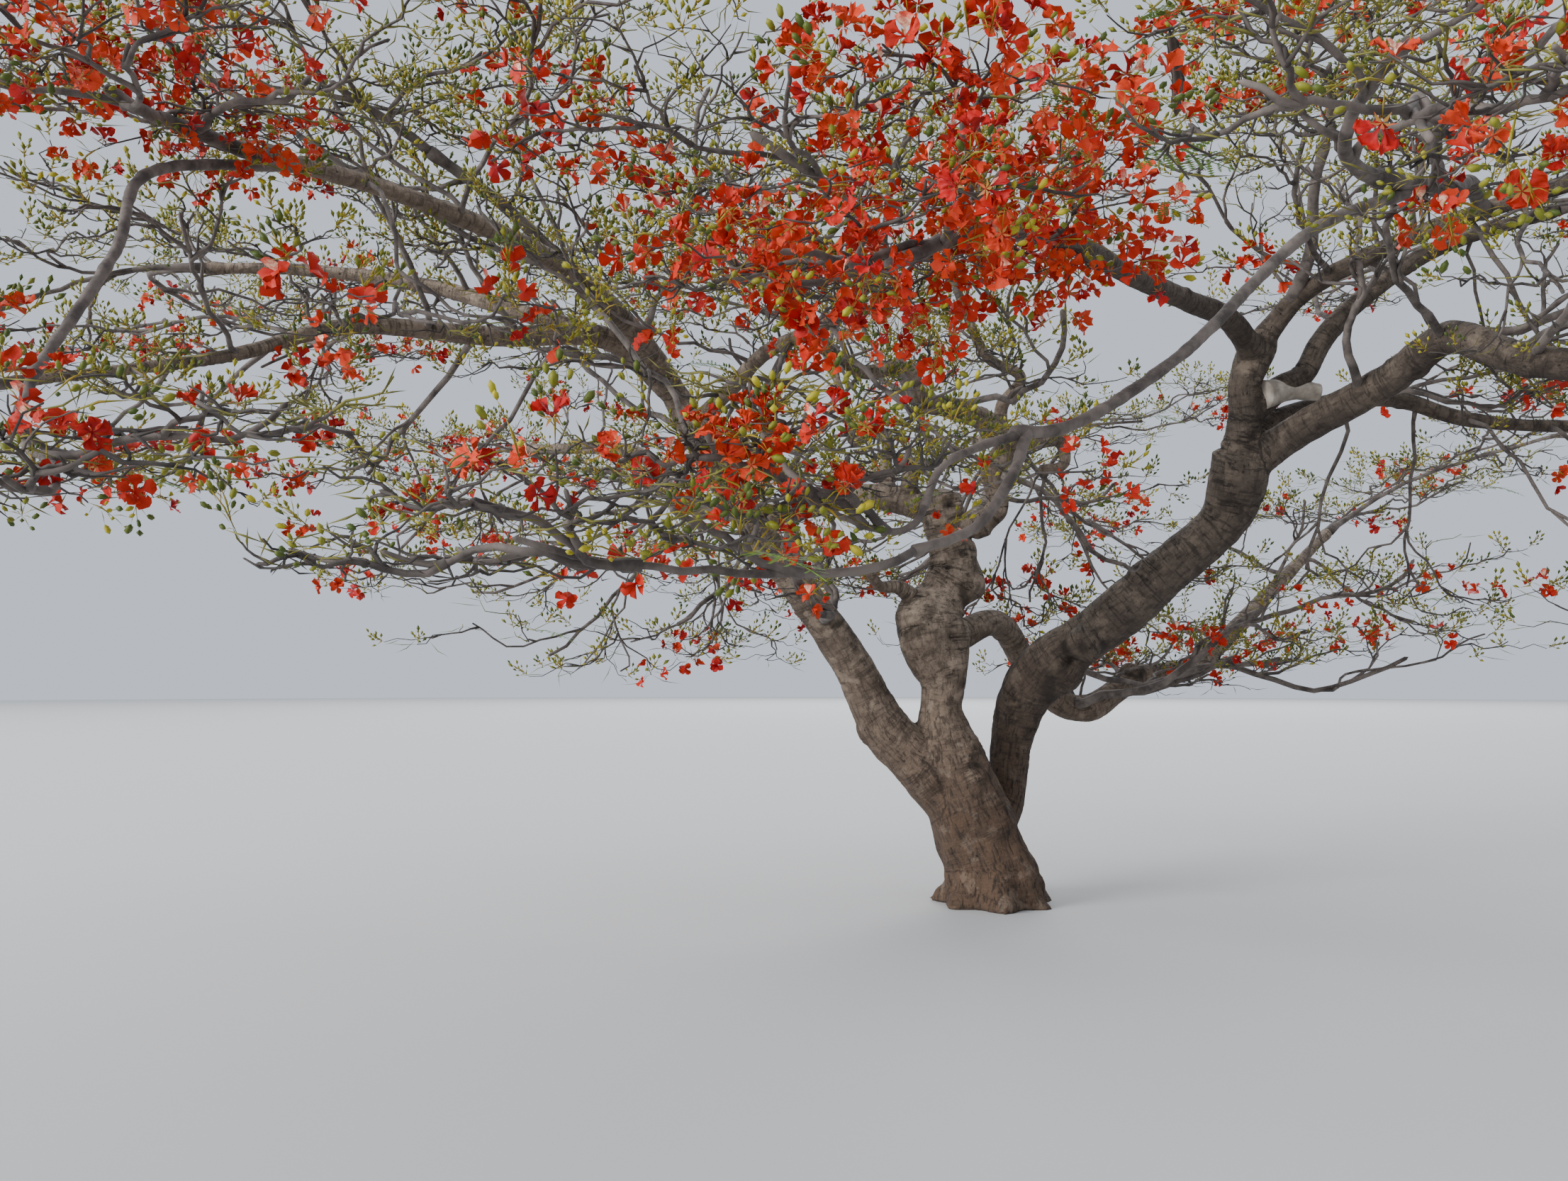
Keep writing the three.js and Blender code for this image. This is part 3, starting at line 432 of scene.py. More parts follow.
def tubes(paths, radii, sides, first=None, tip_length=1.5):
    """Closed tubes along many paths at once: ring k is the circle of its radius round place k, a middle point
    closes the root, and the tip ends in a point that stands out by some radii. radii is shaped curves,
    places, or curves, places, sides. Returns vertices and triangles, both as whole arrays."""
    curves, places = paths.shape[:2]
    heading, normal, side = carried_frames(paths, first)
    if radii.ndim == 2:
        radii = np.repeat(radii[:, :, None], sides, axis=2)
    rings = paths[:, :, None] + radii[..., None] * circle(sides, normal, side)
    tip = paths[:, -1] + heading[:, -1] * radii[:, -1].mean(axis=1, keepdims=True) * tip_length
    vertices = np.concatenate([rings.reshape(curves, -1, 3), paths[:, :1], tip[:, None]], axis=1)
    ring, turn = np.meshgrid(np.arange(places - 1), np.arange(sides), indexing="ij")
    a, b = ring * sides + turn, ring * sides + (turn + 1) % sides
    wall = np.stack([a, b, b + sides, a, b + sides, a + sides], axis=-1).reshape(-1, 3)
    k = np.arange(sides)
    root = np.stack([k * 0 + places * sides, (k + 1) % sides, k], axis=-1)
    last = (places - 1) * sides
    end = np.stack([k * 0 + places * sides + 1, last + k, last + (k + 1) % sides], axis=-1)
    return vertices.reshape(-1, 3), copies(np.concatenate([wall, root, end]), vertices.shape[1], curves)


def joined(parts):
    """Several (vertices, faces) pairs as one, with the faces' numbers moved on."""
    start, vertices, faces = 0, [], []
    for v, f in parts:
        vertices.append(v)
        faces.append(f + start)
        start += len(v)
    return np.concatenate(vertices), np.concatenate(faces)


def mesh_piece(name, vertices, faces, finishes, dealt=None, values=None):
    """A new smooth object from whole arrays of vertices and triangles. dealt is each face's finish, and
    values are named numbers of each vertex that a finish can read."""
    mesh = bpy.data.meshes.new(name)
    mesh.vertices.add(len(vertices))
    mesh.vertices.foreach_set("co", np.ascontiguousarray(vertices, np.float32).ravel())
    mesh.loops.add(faces.size)
    mesh.loops.foreach_set("vertex_index", np.ascontiguousarray(faces, np.int32).ravel())
    mesh.polygons.add(len(faces))
    mesh.polygons.foreach_set("loop_start", np.arange(0, faces.size, 3, dtype=np.int32))
    mesh.polygons.foreach_set("use_smooth", np.ones(len(faces), bool))
    for finish in finishes:
        mesh.materials.append(finish)
    if dealt is not None:
        mesh.polygons.foreach_set("material_index", np.ascontiguousarray(dealt, np.int32))
    for key, numbers in (values or {}).items():
        flat = np.ascontiguousarray(numbers, np.float32)
        kind, field = ("FLOAT", "value") if flat.ndim == 1 else ("FLOAT_VECTOR", "vector")
        mesh.attributes.new(key, kind, "POINT").data.foreach_set(field, flat.ravel())
    mesh.update(calc_edges=True)
    mesh.validate()
    piece = bpy.data.objects.new(name, mesh)
    bpy.context.scene.collection.objects.link(piece)
    return piece


def fit_in(piece, nodes=()):
    """Ties a finished piece to the frame."""
    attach(piece, "root")
    if nodes:
        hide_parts(*nodes)


class Value:
    """A socket of a finish, with a number's operators, each of which adds a Math node."""

    def __init__(self, finish, socket):
        self.finish = finish
        self.socket = socket

    def __add__(self, other):
        return self.finish.math("ADD", self, other)

    def __sub__(self, other):
        return self.finish.math("SUBTRACT", self, other)

    def __rsub__(self, other):
        return self.finish.math("SUBTRACT", other, self)

    def __mul__(self, other):
        return self.finish.math("MULTIPLY", self, other)

    __radd__ = __add__
    __rmul__ = __mul__


class Finish:
    """A material being made: its nodes are added one by one, and its shader's sockets are set at the end."""

    def __init__(self, name):
        self.material = bpy.data.materials.new(name)
        self.material.use_nodes = True
        self.nodes = self.material.node_tree.nodes
        self.links = self.material.node_tree.links
        self.shader = self.nodes["Principled BSDF"]

    def node(self, kind, settings=None, output=0, **sockets):
        """Adds a node: its settings first, then its sockets' numbers or links. A socket's name is written
        with _ for a space, or as in_ and its number."""
        made = self.nodes.new(kind)
        for key, value in (settings or {}).items():
            if key == "stops":
                self.set_stops(made.color_ramp, value)
            else:
                setattr(made, key, value)
        for key, value in sockets.items():
            name = int(key[3:]) if key.startswith("in_") else key.replace("_", " ")
            self.feed(made.inputs[name], value)
        return Value(self, made.outputs[output])

    def feed(self, socket, value):
        """Links a value to a socket, or sets the socket to a number or colour."""
        if isinstance(value, Value):
            self.links.new(value.socket, socket)
        else:
            socket.default_value = value

    @staticmethod
    def set_stops(ramp, stops):
        """Gives a colour ramp its (place, brightness) stops."""
        while len(ramp.elements) < len(stops):
            ramp.elements.new(0.5)
        for element, (place, bright) in zip(ramp.elements, stops):
            element.position = place
            element.color = (bright, bright, bright, 1)

    def math(self, operation, a, b):
        return self.node("ShaderNodeMath", {"operation": operation}, in_0=a, in_1=b)

    def mix(self, share, a, b):
        """Two colours mixed by a share."""
        a, b = (c if isinstance(c, Value) else (*c, 1) for c in (a, b))
        return self.node("ShaderNodeMix", {"data_type": "RGBA"}, 2, in_0=share, in_6=a, in_7=b)

    def place(self):
        """The object's own coordinates."""
        return self.node("ShaderNodeTexCoord", None, 3)

    def attribute(self, name, output=2):
        """What the mesh holds at each vertex under a name: a number, or three numbers with output 1."""
        return self.node("ShaderNodeAttribute", {"attribute_name": name}, output)

    def noise(self, scale, detail=4.0, roughness=0.55, place=None, distortion=0.0):
        """Cloudy noise on the object's own coordinates, or on a place worked out from them."""
        return self.node("ShaderNodeTexNoise", Vector=place or self.place(), Scale=scale, Detail=detail,
                         Roughness=roughness, Distortion=distortion)

    def ramp(self, value, *stops):
        """A value through a ramp of (place, brightness) stops."""
        return self.node("ShaderNodeValToRGB", {"stops": stops}, Fac=value)

    def bump(self, height, strength, distance):
        """A normal bent by a height, in metres at full strength."""
        return self.node("ShaderNodeBump", Strength=strength, Distance=distance, Height=height)

    def done(self, **sockets):
        """Sets the shader's sockets and returns the material."""
        for key, value in sockets.items():
            self.feed(self.shader.inputs[key.replace("_", " ")], value)
        return self.material


def shaded(colour, share):
    """A colour made darker or lighter by a share."""
    return tuple(share * c for c in colour)


def bark_finish(name, grey, dark, warm):
    """Bark: grey clouded with brown, warm and dark low on the trunk, partly its own colour and partly painted
    shade, with fissures along the limb, fine dark wrinkles across it, darker where it is folded as partly
    painted shade, black lichen specks on its upper side, small pits and pale patches. Painted shade darkens
    the creases between its rolls, the middles of sunk knots and rings round knobs, darkest below them, and
    its faces that look down. The grain attribute is the place across the limb (two numbers) and along it, so
    that the pattern follows the limb."""
    finish = Finish(name)
    grain, fold, crease = finish.attribute("grain", 1), finish.attribute("fold"), finish.attribute("crease")
    height = finish.node("ShaderNodeSeparateXYZ", None, 2, Vector=finish.place())
    normal = finish.node("ShaderNodeNewGeometry", None, 1)
    upward = finish.node("ShaderNodeSeparateXYZ", None, 2, Vector=normal)
    black = shaded(dark, 0.3)

    def along_grain(x, y, z):
        return finish.node("ShaderNodeVectorMath", {"operation": "MULTIPLY"}, in_0=grain, in_1=(x, y, z))

    clouds = finish.ramp(finish.noise(2.6, 7, 0.68), (0.3, 0), (0.56, 1))
    colour = finish.mix(clouds, dark, grey)
    # Low on the trunk the bark turns warm and dark: partly the bark's own warmer colour, partly painted shade
    low = finish.node("ShaderNodeClamp", Value=1.45 - height * 0.68)
    colour = finish.mix(low, colour, warm)
    blotches = finish.ramp(finish.noise(17, 7, 0.74), (0.44, 0), (0.62, 1))
    colour = finish.mix(blotches * 0.5, colour, dark)
    fissured = finish.noise(1.0, 6, 0.68, along_grain(36, 36, 8), 0.5)
    fissures = finish.ramp(fissured, (0.4, 1), (0.5, 0))
    colour = finish.mix(fissures * (0.45 + low * 0.4), colour, black)
    wrinkled = finish.noise(1.0, 5, 0.66, along_grain(5, 5, 30), 0.9)
    # Wrinkles are darker where the bark is folded, on bends, at limbs' roots and round knots: partly painted
    # shade
    wrinkles = finish.ramp(wrinkled, (0.41, 1), (0.48, 0)) * (0.7 - low * 0.4 + fold * 0.4)
    colour = finish.mix(wrinkles * 0.85, colour, black)
    # Painted shade: the creases between rolls, the middles of sunk knots and rings round knobs, darkest below
    # them, are darkened towards black
    colour = finish.mix(finish.ramp(crease, (0.1, 0), (0.8, 1)) * 0.8, colour, black)
    specks = finish.ramp(finish.noise(46, 6, 0.75), (0.53, 0), (0.6, 1))
    patches = finish.ramp(finish.noise(3.1, 4, 0.6), (0.44, 0), (0.6, 1))
    upper = finish.ramp(upward, (0.35, 0.12), (0.85, 1))
    colour = finish.mix(specks * patches * upper * 0.85, colour, black)
    cells = finish.node("ShaderNodeTexVoronoi", Vector=along_grain(26, 26, 15), Scale=1.0)
    pits = finish.ramp(cells, (0.06, 1), (0.15, 0)) * finish.ramp(finish.noise(6, 2), (0.48, 0), (0.54, 1))
    colour = finish.mix(pits * 0.8, colour, black)
    pale = finish.ramp(finish.noise(7.5, 6, 0.62), (0.56, 0), (0.64, 1))
    colour = finish.mix(pale * (0.45 - low * 0.3), colour, shaded(grey, 1.5))
    # Painted shade: faces that look down are darkened towards the dark bark colour
    painted_underside_shade = finish.ramp(upward * 0.5 + 0.5, (0.12, 1), (0.6, 0))
    colour = finish.mix(painted_underside_shade * 0.5, colour, dark)
    relief = fissured * 0.55 + wrinkled * (fold * 1.2 + 0.45) + finish.noise(24, 6, 0.7) * 0.8
    relief = relief + finish.noise(130, 3, 0.7) * 0.2 - pits * 0.5
    return finish.done(Base_Color=colour, Roughness=finish.ramp(blotches, (0.0, 0.8), (1.0, 0.93)),
                       Specular_IOR_Level=0.3, Normal=finish.bump(relief, 1.0, 0.032))


def twig_finish(name, pale, dark):
    """Thin wood: two greys clouded into each other, with a fine rough relief."""
    finish = Finish(name)
    clouds = finish.ramp(finish.noise(9, 4, 0.6), (0.38, 0), (0.64, 1))
    colour = finish.mix(clouds, dark, pale)
    return finish.done(Base_Color=colour, Roughness=0.85, Normal=finish.bump(finish.noise(90, 3), 0.5, 0.002))


def petal_finish(name, base, edge):
    """A petal: deeper towards its claw, paler and more orange to its rim, faintly veined and crinkled."""
    finish = Finish(name)
    share = finish.ramp(finish.attribute("out") + finish.noise(30, 3) * 0.25 - 0.12, (0.2, 0), (0.95, 1))
    veins = finish.ramp(finish.noise(170, 2), (0.35, 0), (0.65, 1))
    colour = finish.mix(veins * 0.22, finish.mix(share, base, edge), shaded(base, 0.6))
    return finish.done(Base_Color=colour, Roughness=0.55, Specular_IOR_Level=0.2,
                       Normal=finish.bump(finish.noise(120, 2), 0.35, 0.002))


def standard_finish():
    """The streaked petal of some flowers: near white and yellow in its middle, flecked with red, and redder
    to its rim."""
    finish = Finish("streaked_petal")
    flecks = finish.ramp(finish.noise(130, 2), (0.46, 0), (0.56, 1))
    rim = finish.ramp(finish.attribute("out"), (0.55, 0), (0.9, 1))
    colour = finish.mix(rim, (0.86, 0.62, 0.42), (0.74, 0.11, 0.06))
    return finish.done(Base_Color=finish.mix(flecks * 0.6, colour, (0.66, 0.03, 0.02)), Roughness=0.5)


def plant_finish(name, base, other, rough=0.5, scale=26.0):
    """A green part: two colours clouded into each other."""
    finish = Finish(name)
    clouds = finish.ramp(finish.noise(scale, 3), (0.4, 0), (0.62, 1))
    return finish.done(Base_Color=finish.mix(clouds, base, other), Roughness=rough, Specular_IOR_Level=0.25,
                       Normal=finish.bump(finish.noise(140, 2), 0.2, 0.001))


# Old scars, knobs and folds: the limb, the share of its length, the angle round it from the side that faces
# the viewer, the size, the height, and how deep the middle is sunk
Knot = namedtuple("Knot", "limb share angle size height sunk")
KNOTS = [
    Knot(limb, *row) for limb, rows in {
        "trunk": (
            (0.975, 0.2, 0.08, 0.02, 0.05), (0.94, -1.0, 0.07, 0.03, 0.02), (0.8, 1.35, 0.11, 0.09, 0.0),
            (0.86, 0.8, 0.07, 0.03, 0.02), (0.69, -0.9, 0.13, 0.045, 0.0),
            (0.63, 0.45, 0.05, -0.03, 0.02), (0.56, 0.75, 0.1, 0.03, 0.0),
            (0.33, -0.9, 0.09, 0.02, 0.025), (0.2, 0.5, 0.11, 0.02, 0.0),
        ),
        "right_bough": (
            (0.534, 0.1, 0.095, 0.13, 0.03), (0.508, 0.4, 0.055, -0.05, 0.0),
            (0.49, 0.5, 0.07, -0.02, 0.02), (0.45, 1.3, 0.13, 0.07, 0.0),
            (0.351, -0.5, 0.045, 0.01, 0.025), (0.316, -0.4, 0.04, 0.01, 0.022),
            (0.737, -0.9, 0.04, 0.015, 0.02), (0.704, -0.7, 0.035, 0.012, 0.018),
            (0.97, 0.1, 0.14, 0.035, 0.0), (0.925, -0.3, 0.035, -0.02, 0.0),
            (0.92, 0.05, 0.035, -0.024, 0.0), (0.92, 0.4, 0.035, -0.024, 0.0),
            (0.925, 0.75, 0.035, -0.02, 0.0), (0.9, 0.3, 0.06, 0.02, 0.02),
        ),
        "right_upright_bough": ((0.3, 0.2, 0.06, 0.02, 0.02), (0.71, 0.2, 0.05, 0.018, 0.025),),
        "left_bough": (
            (0.5, 0.3, 0.055, 0.02, 0.02), (0.33, -0.5, 0.05, 0.015, 0.02),
            (0.6, 0.2, 0.05, 0.018, 0.02),
        ),
        "elbow_arm": ((0.43, 0.6, 0.06, 0.03, 0.0), (0.27, 1.4, 0.055, 0.045, 0.02),),
        "long_arm": ((0.32, -0.1, 0.055, 0.03, 0.02), (0.52, 0.3, 0.045, 0.02, 0.01),),
        "back_right_bough": ((0.44, -1.3, 0.08, 0.06, 0.0),),
        "right_arch_bough": ((0.3, 0.5, 0.06, 0.02, 0.02), (0.48, -0.3, 0.05, 0.02, 0.0),),
        "right_front_bough": ((0.2, 0.5, 0.04, 0.014, 0.012), (0.33, -0.2, 0.035, 0.012, 0.01),),
    }.items() for row in rows
]

# How far apart the small seeded knots of a limb are
SMALL_KNOT_GAP = 0.55


def knot_places(names):
    """Where each knot of these limbs sits: on the surface, at its angle round the limb, counted to the right
    from the side that faces the viewer. Small seeded knots are added along every limb."""
    rng = np.random.default_rng(41)
    knots = [k for k in KNOTS if k.limb in names]
    for name in names:
        wood = skeleton()[name]
        for share in np.arange(0.12, 0.98, SMALL_KNOT_GAP / wood.length):
            size = float(wood.radius(share)) * rng.uniform(0.25, 0.45)
            share = min(share + rng.uniform(0, 0.2 / wood.length), 1)
            angle = rng.uniform(-3, 3)
            height = size * rng.uniform(0.15, 0.4)
            knots.append(Knot(name, share, angle, size, height, size * rng.choice([0, 0.35])))
    places = []
    for knot in knots:
        wood = skeleton()[knot.limb]
        heading = wood.heading(knot.share)
        front = unit(across(TOWARDS_VIEWER, heading))
        right = np.cross(front, heading)
        if right[0] < 0:
            right = -right
        out = math.cos(knot.angle) * front + math.sin(knot.angle) * right
        places.append(wood.place(knot.share) + out * wood.radius(knot.share))
    return knots, np.array(places)


def ripple(points, length, seed, waves=6):
    """Smooth waves over space: the mean of sines that run in seeded directions, each about a length long."""
    rng = np.random.default_rng(seed)
    way = unit(rng.normal(size=(waves, 3))) * (TURN / length) * rng.uniform(0.6, 1.5, (waves, 1))
    return np.sin(points @ way.T + rng.uniform(0, TURN, waves)).mean(axis=1)


def limb_tube(wood, sides, step):
    """One limb as a closed tube with its own taper, and on the trunk its ribbed root flare."""
    share = np.linspace(0, 1, max(4, int(wood.length / step)))
    radii = np.repeat(wood.radius(share)[:, None], sides, axis=1)
    first = None
    if wood.name == "trunk":
        fade = np.exp(-share * wood.length / RIB_HEIGHT)
        radii *= 1 + RIB_DEPTH * fade[:, None] * np.cos(RIBS * TURN * np.arange(sides) / sides)
        first = TOWARDS_VIEWER
    return tubes(wood.place(share)[None], radii[None], sides, first, tip_length=0.6)


def remeshed(vertices, faces, voxel):
    """One closed skin round overlapping tubes, by a voxel remesh. Returns its vertices and its triangles."""
    rough = mesh_piece("rough_wood", vertices, faces, [])
    modifier = rough.modifiers.new("skin", "REMESH")
    modifier.mode = "VOXEL"
    modifier.voxel_size = voxel
    skin = rough.evaluated_get(bpy.context.evaluated_depsgraph_get()).to_mesh()
    skin.calc_loop_triangles()
    places = np.empty(len(skin.vertices) * 3, np.float32)
    skin.vertices.foreach_get("co", places)
    corners = np.empty(len(skin.loop_triangles) * 3, np.int32)
    skin.loop_triangles.foreach_get("vertices", corners)
    bpy.data.objects.remove(rough)
    return places.reshape(-1, 3).astype(float), corners.reshape(-1, 3)


def evened(vertices, faces, rounds):
    """Smooths a skin: each round moves every point towards the mean of its neighbours by a little more than
    half, then back by almost as much, so that limbs keep their girth. Points on the ground stay on it."""
    pairs = np.concatenate([faces[:, [0, 1]], faces[:, [1, 2]], faces[:, [2, 0]]])
    pairs = np.concatenate([pairs, pairs[:, ::-1]])
    count = np.bincount(pairs[:, 0], minlength=len(vertices))[:, None]
    v = vertices.copy()
    for _ in range(rounds):
        for pull in (0.55, -0.53):
            total = np.stack([np.bincount(pairs[:, 0], v[pairs[:, 1], k], len(v)) for k in range(3)], axis=1)
            v += pull * (total / count - v)
    v[vertices[:, 2] < 0.012, 2] = 0
    return v


def normals_of(vertices, faces):
    """Each vertex's normal: the sum of its faces' normals, each as long as twice its face's area."""
    a, b, c = (vertices[faces[:, k]] for k in range(3))
    face = np.cross(b - a, c - a)
    total = [np.bincount(faces.ravel(), np.repeat(face[:, k], 3), len(vertices)) for k in range(3)]
    return unit(np.stack(total, axis=1))


def lifted(vertices, faces, height):
    """Vertices moved along their normals by a height each."""
    return vertices + normals_of(vertices, faces) * height[:, None]


# How far apart the guides along a limb's middle line are
GUIDE_STEP = 0.035


def guides(names):
    """Places along the middle lines of some limbs: the point, the radius, the heading, two directions square
    to it that are carried along, the bend (the heading's change for each metre), the length from the root and
    the same length in radii of the root."""
    found = []
    for name in names:
        wood = skeleton()[name]
        share = np.linspace(0, 1, int(wood.length / GUIDE_STEP) + 2)
        point = wood.place(share)
        heading, normal, side = (v[0] for v in carried_frames(point[None]))
        run = share * wood.length
        bend = np.gradient(heading, run, axis=0)
        found.append((point, wood.radius(share), heading, normal, side, bend, run, run / wood.radii[0]))
    return [np.concatenate(v) for v in zip(*found)]


def gaps(points, middle, radius):
    """How far each point is from the skin of each ball: points by balls."""
    square = (points**2).sum(1)[:, None] + (middle**2).sum(1) - 2 * points @ middle.T
    return np.sqrt(np.maximum(square, 0)) - radius


def nearest(vertices, middle, radius, chunk=3000):
    """The number of the guide whose skin is nearest to each vertex."""
    starts = range(0, len(vertices), chunk)
    return np.concatenate([np.argmin(gaps(vertices[s : s + chunk], middle, radius), axis=1) for s in starts])


# The bark's folds, wrinkles and sinews: how far apart, how high, and how far from the root and the ground
# they reach. A knot higher than KNOB_HEIGHT is a knob with steep sides.
FOLD_PITCH = 0.075
FOLD_HEIGHT = 0.018
FOLDS_FOR_BEND = 2.6
FOLDED_RADII = 1.6
WRINKLE_PITCH = 0.055
WRINKLE_HEIGHT = 0.0035
SINEW_HEIGHT = 0.018
SINEWS = 3
SINEW_TOP = 1.1
KNOB_HEIGHT = 0.095


def bark_relief(vertices, limbs):
    """How far the bark stands out at each vertex, how folded it is, its place in the limb's own grain, and
    how much painted shade it gets: painted shade in the creases between rolls and in the middles of sunk
    knots, and a painted shadow round knobs, strongest below them. The bark has slow lumps and fine wrinkles
    everywhere, rolls with sharp creases between them on the inner side of bends and round the limbs' roots,
    twisted sinews low on the trunk, and knots."""
    point, radius, heading, normal, side, bend, run, run_in_radii = guides(limbs)
    near = nearest(vertices, point, radius)
    offset = vertices - point[near]
    thick = radius[near]
    x, y = np.sum(offset * normal[near], axis=1), np.sum(offset * side[near], axis=1)
    along = run[near] + np.sum(offset * heading[near], axis=1)
    squeezed = np.sum(offset * bend[near], axis=1)
    patches = np.clip(0.5 + 2.2 * ripple(vertices, 0.45, 5), 0, 1)
    fold = np.clip(squeezed * FOLDS_FOR_BEND - 0.12, 0, 1)
    at_root = 0.85 * np.exp(-((run_in_radii[near] / FOLDED_RADII) ** 2)) * (limbs[0] != "trunk")
    fold = np.maximum(fold, at_root) * patches * np.clip((thick - 0.03) / 0.08, 0, 1)
    wave = np.abs(np.sin(math.pi * along / FOLD_PITCH + 2.4 * ripple(vertices, 0.3, 3)))
    # Painted shade: the valleys between the rolls are marked for darkening
    crease = fold * np.clip(1 - wave / 0.4, 0, 1)
    rolls = FOLD_HEIGHT * fold * (np.minimum(wave, 0.8) - 0.55)
    turn = np.arctan2(y, x)
    low = np.exp(-np.maximum(vertices[:, 2], 0) / SINEW_TOP) * np.clip((thick - 0.15) / 0.12, 0, 1)
    sinews = SINEW_HEIGHT * low * np.sin(SINEWS * turn + 1.3 * along + 2.0 * ripple(vertices, 0.7, 7))
    lumps = thick * (0.075 * ripple(vertices, 0.5, 1) + 0.05 * ripple(vertices, 0.16, 2))
    thin = np.abs(np.sin(math.pi * along / WRINKLE_PITCH + 3 * ripple(vertices, 0.2, 11)))
    wrinkles = WRINKLE_HEIGHT * (np.minimum(thin, 0.7) - 0.5) * np.clip((thick - 0.06) / 0.08, 0, 1)
    wrinkles = wrinkles * (1 - low) * np.clip(1 + 2 * ripple(vertices, 0.35, 14), 0, 1.6)
    raised = lumps + rolls + sinews + wrinkles
    for knot, place in zip(*knot_places(limbs)):
        apart = vertices - place
        reach = np.abs(apart).max(axis=1) < 3 * knot.size
        away = np.linalg.norm(apart[reach], axis=1) / knot.size
        swell = knot.height * np.exp(-((away / 1.2) ** (4 if knot.height > KNOB_HEIGHT else 2)))
        hollow = knot.sunk * np.exp(-((away / 0.5) ** 2))
        rim = 0.35 * knot.sunk * np.exp(-(((away - 0.95) / 0.22) ** 2))
        raised[reach] += swell - hollow + rim
        # Painted shadow: a dark ring round a raised knot, weaker above its lower part, and painted shade in
        # the middle of a sunk knot
        dark = min(knot.height / 0.07, 1) * np.exp(-(((away - 1.45) / 0.35) ** 2))
        dark = np.where(apart[reach, 2] < 0.3 * knot.size, dark, 0.3 * dark)
        dark = np.maximum(dark, (knot.sunk > 0) * np.exp(-((away / 0.42) ** 2)))
        crease[reach] = np.maximum(crease[reach], dark)
        # Painted shade: round each knot the bark counts as folded, so its wrinkles are darker there; its
        # relief is raised there too
        fold[reach] = np.maximum(fold[reach], 0.9 * np.exp(-(((away - 1.1) / 0.5) ** 2)))
    grain = np.stack([x, y, along], axis=1)
    return raised, fold, grain, np.clip(crease, 0, 1)


def bark_skin(name, limbs, voxel, finish):
    """The bark of a family of limbs: their tubes joined into one skin, evened, then raised along its normals
    by the bark's relief, which fades out at the ground."""
    woods = [skeleton()[n] for n in limbs]
    rough = joined([limb_tube(w, 40 if w.radii.max() > 0.12 else 24, 0.03) for w in woods])
    vertices, faces = remeshed(*rough, voxel)
    vertices = evened(vertices, faces, 3)
    raised, fold, grain, crease = bark_relief(vertices, limbs)
    above_ground = np.clip(vertices[:, 2] / 0.05, 0, 1)
    vertices = lifted(vertices, faces, raised * above_ground)
    vertices[:, 2] = np.maximum(vertices[:, 2], 0)
    # The painted shade of the creases and knots goes to the finish as an attribute
    values = {"fold": fold, "grain": grain, "crease": crease}
    fit_in(mesh_piece(name, vertices, faces, [finish], values=values), limbs)


def depth_in(space, points):
    """How far points are from the middle of each mass, as a share of its half sizes: points by masses."""
    middle, half = space
    return np.linalg.norm((points[..., None, :] - middle) / half, axis=-1)


@functools.lru_cache
def spaces():
    """The middles and half sizes of all the masses."""
    return np.array([m.middle for m in MASSES], float), np.array([m.half for m in MASSES], float)


@functools.lru_cache
def wood_samples():
    """Places on the middle lines of the trunk and limbs, 60 mm apart, with the radius at each."""
    woods = skeleton().values()
    shares = [np.linspace(0, 1, max(2, int(w.length / 0.06))) for w in woods]
    middles = np.concatenate([w.place(s) for w, s in zip(woods, shares)])
    return middles, np.concatenate([w.radius(s) for w, s in zip(woods, shares)])


def clear_of_wood(paths, roots, margin, near_root):
    """True for each path that stays clear of the trunk and limbs, apart from its first stretch."""
    keep = []
    for start in range(0, len(paths), 400):
        part = paths[start : start + 400]
        gap = gaps(part.reshape(-1, 3), *wood_samples()).min(axis=1).reshape(part.shape[:2])
        exempt = np.linalg.norm(part - roots[start : start + 400, None], axis=2) < near_root
        keep.append(np.all((gap > margin) | exempt, axis=1))
    return np.concatenate(keep)


def bent_path(start, way, end, label, level):
    """Paths that leave along one direction and swing over to their ends: a cubic Bezier, with three sine
    waves of seeded height laid across it, and a seeded kink at every place, so that it is crooked but keeps
    both ends."""
    places = PLACES[level]
    t = np.linspace(0, 1, places)[None, :, None]
    run = np.linalg.norm(end - start, axis=1)[:, None, None]
    chord = unit(end - start)
    a, d = start[:, None], end[:, None]
    b = a + way[:, None] * run * 0.33
    c = d - unit(chord + TIP_RISE * UP)[:, None] * run * 0.3
    path = (1 - t) ** 3 * a + 3 * (1 - t) ** 2 * t * b + 3 * (1 - t) * t**2 * c + t**3 * d
    side = unit(across(UP + 0.01, chord))
    other = np.cross(chord, side)
    for wave in (1, 2, 3):
        draw = [2 * chance(label, DRAW.bend + 2 * wave + k) - 1 for k in (0, 1)]
        swing = draw[0][:, None] * side + draw[1][:, None] * other
        path = path + np.sin(math.pi * wave * t) * swing[:, None] * run * WANDERS[level] / wave**0.6
    k = np.arange(places)
    hold = np.where((k == 0) | (k == places - 1), 0, 1)
    kinks = [(2 * chance(label[:, None] + 0.37 * k, DRAW.kink + n) - 1) * hold for n in (0, 1)]
    kink = kinks[0][..., None] * side[:, None] + kinks[1][..., None] * other[:, None]
    return path + kink * run * KINKS[level]


def on_paths(paths, share):
    """The point at a share of each path's places, and the direction there."""
    along = share * (paths.shape[1] - 1)
    before = np.minimum(along.astype(int), paths.shape[1] - 2)
    row = np.arange(len(paths))
    a, b = paths[row, before], paths[row, before + 1]
    return a + (b - a) * (along - before)[:, None], unit(b - a)


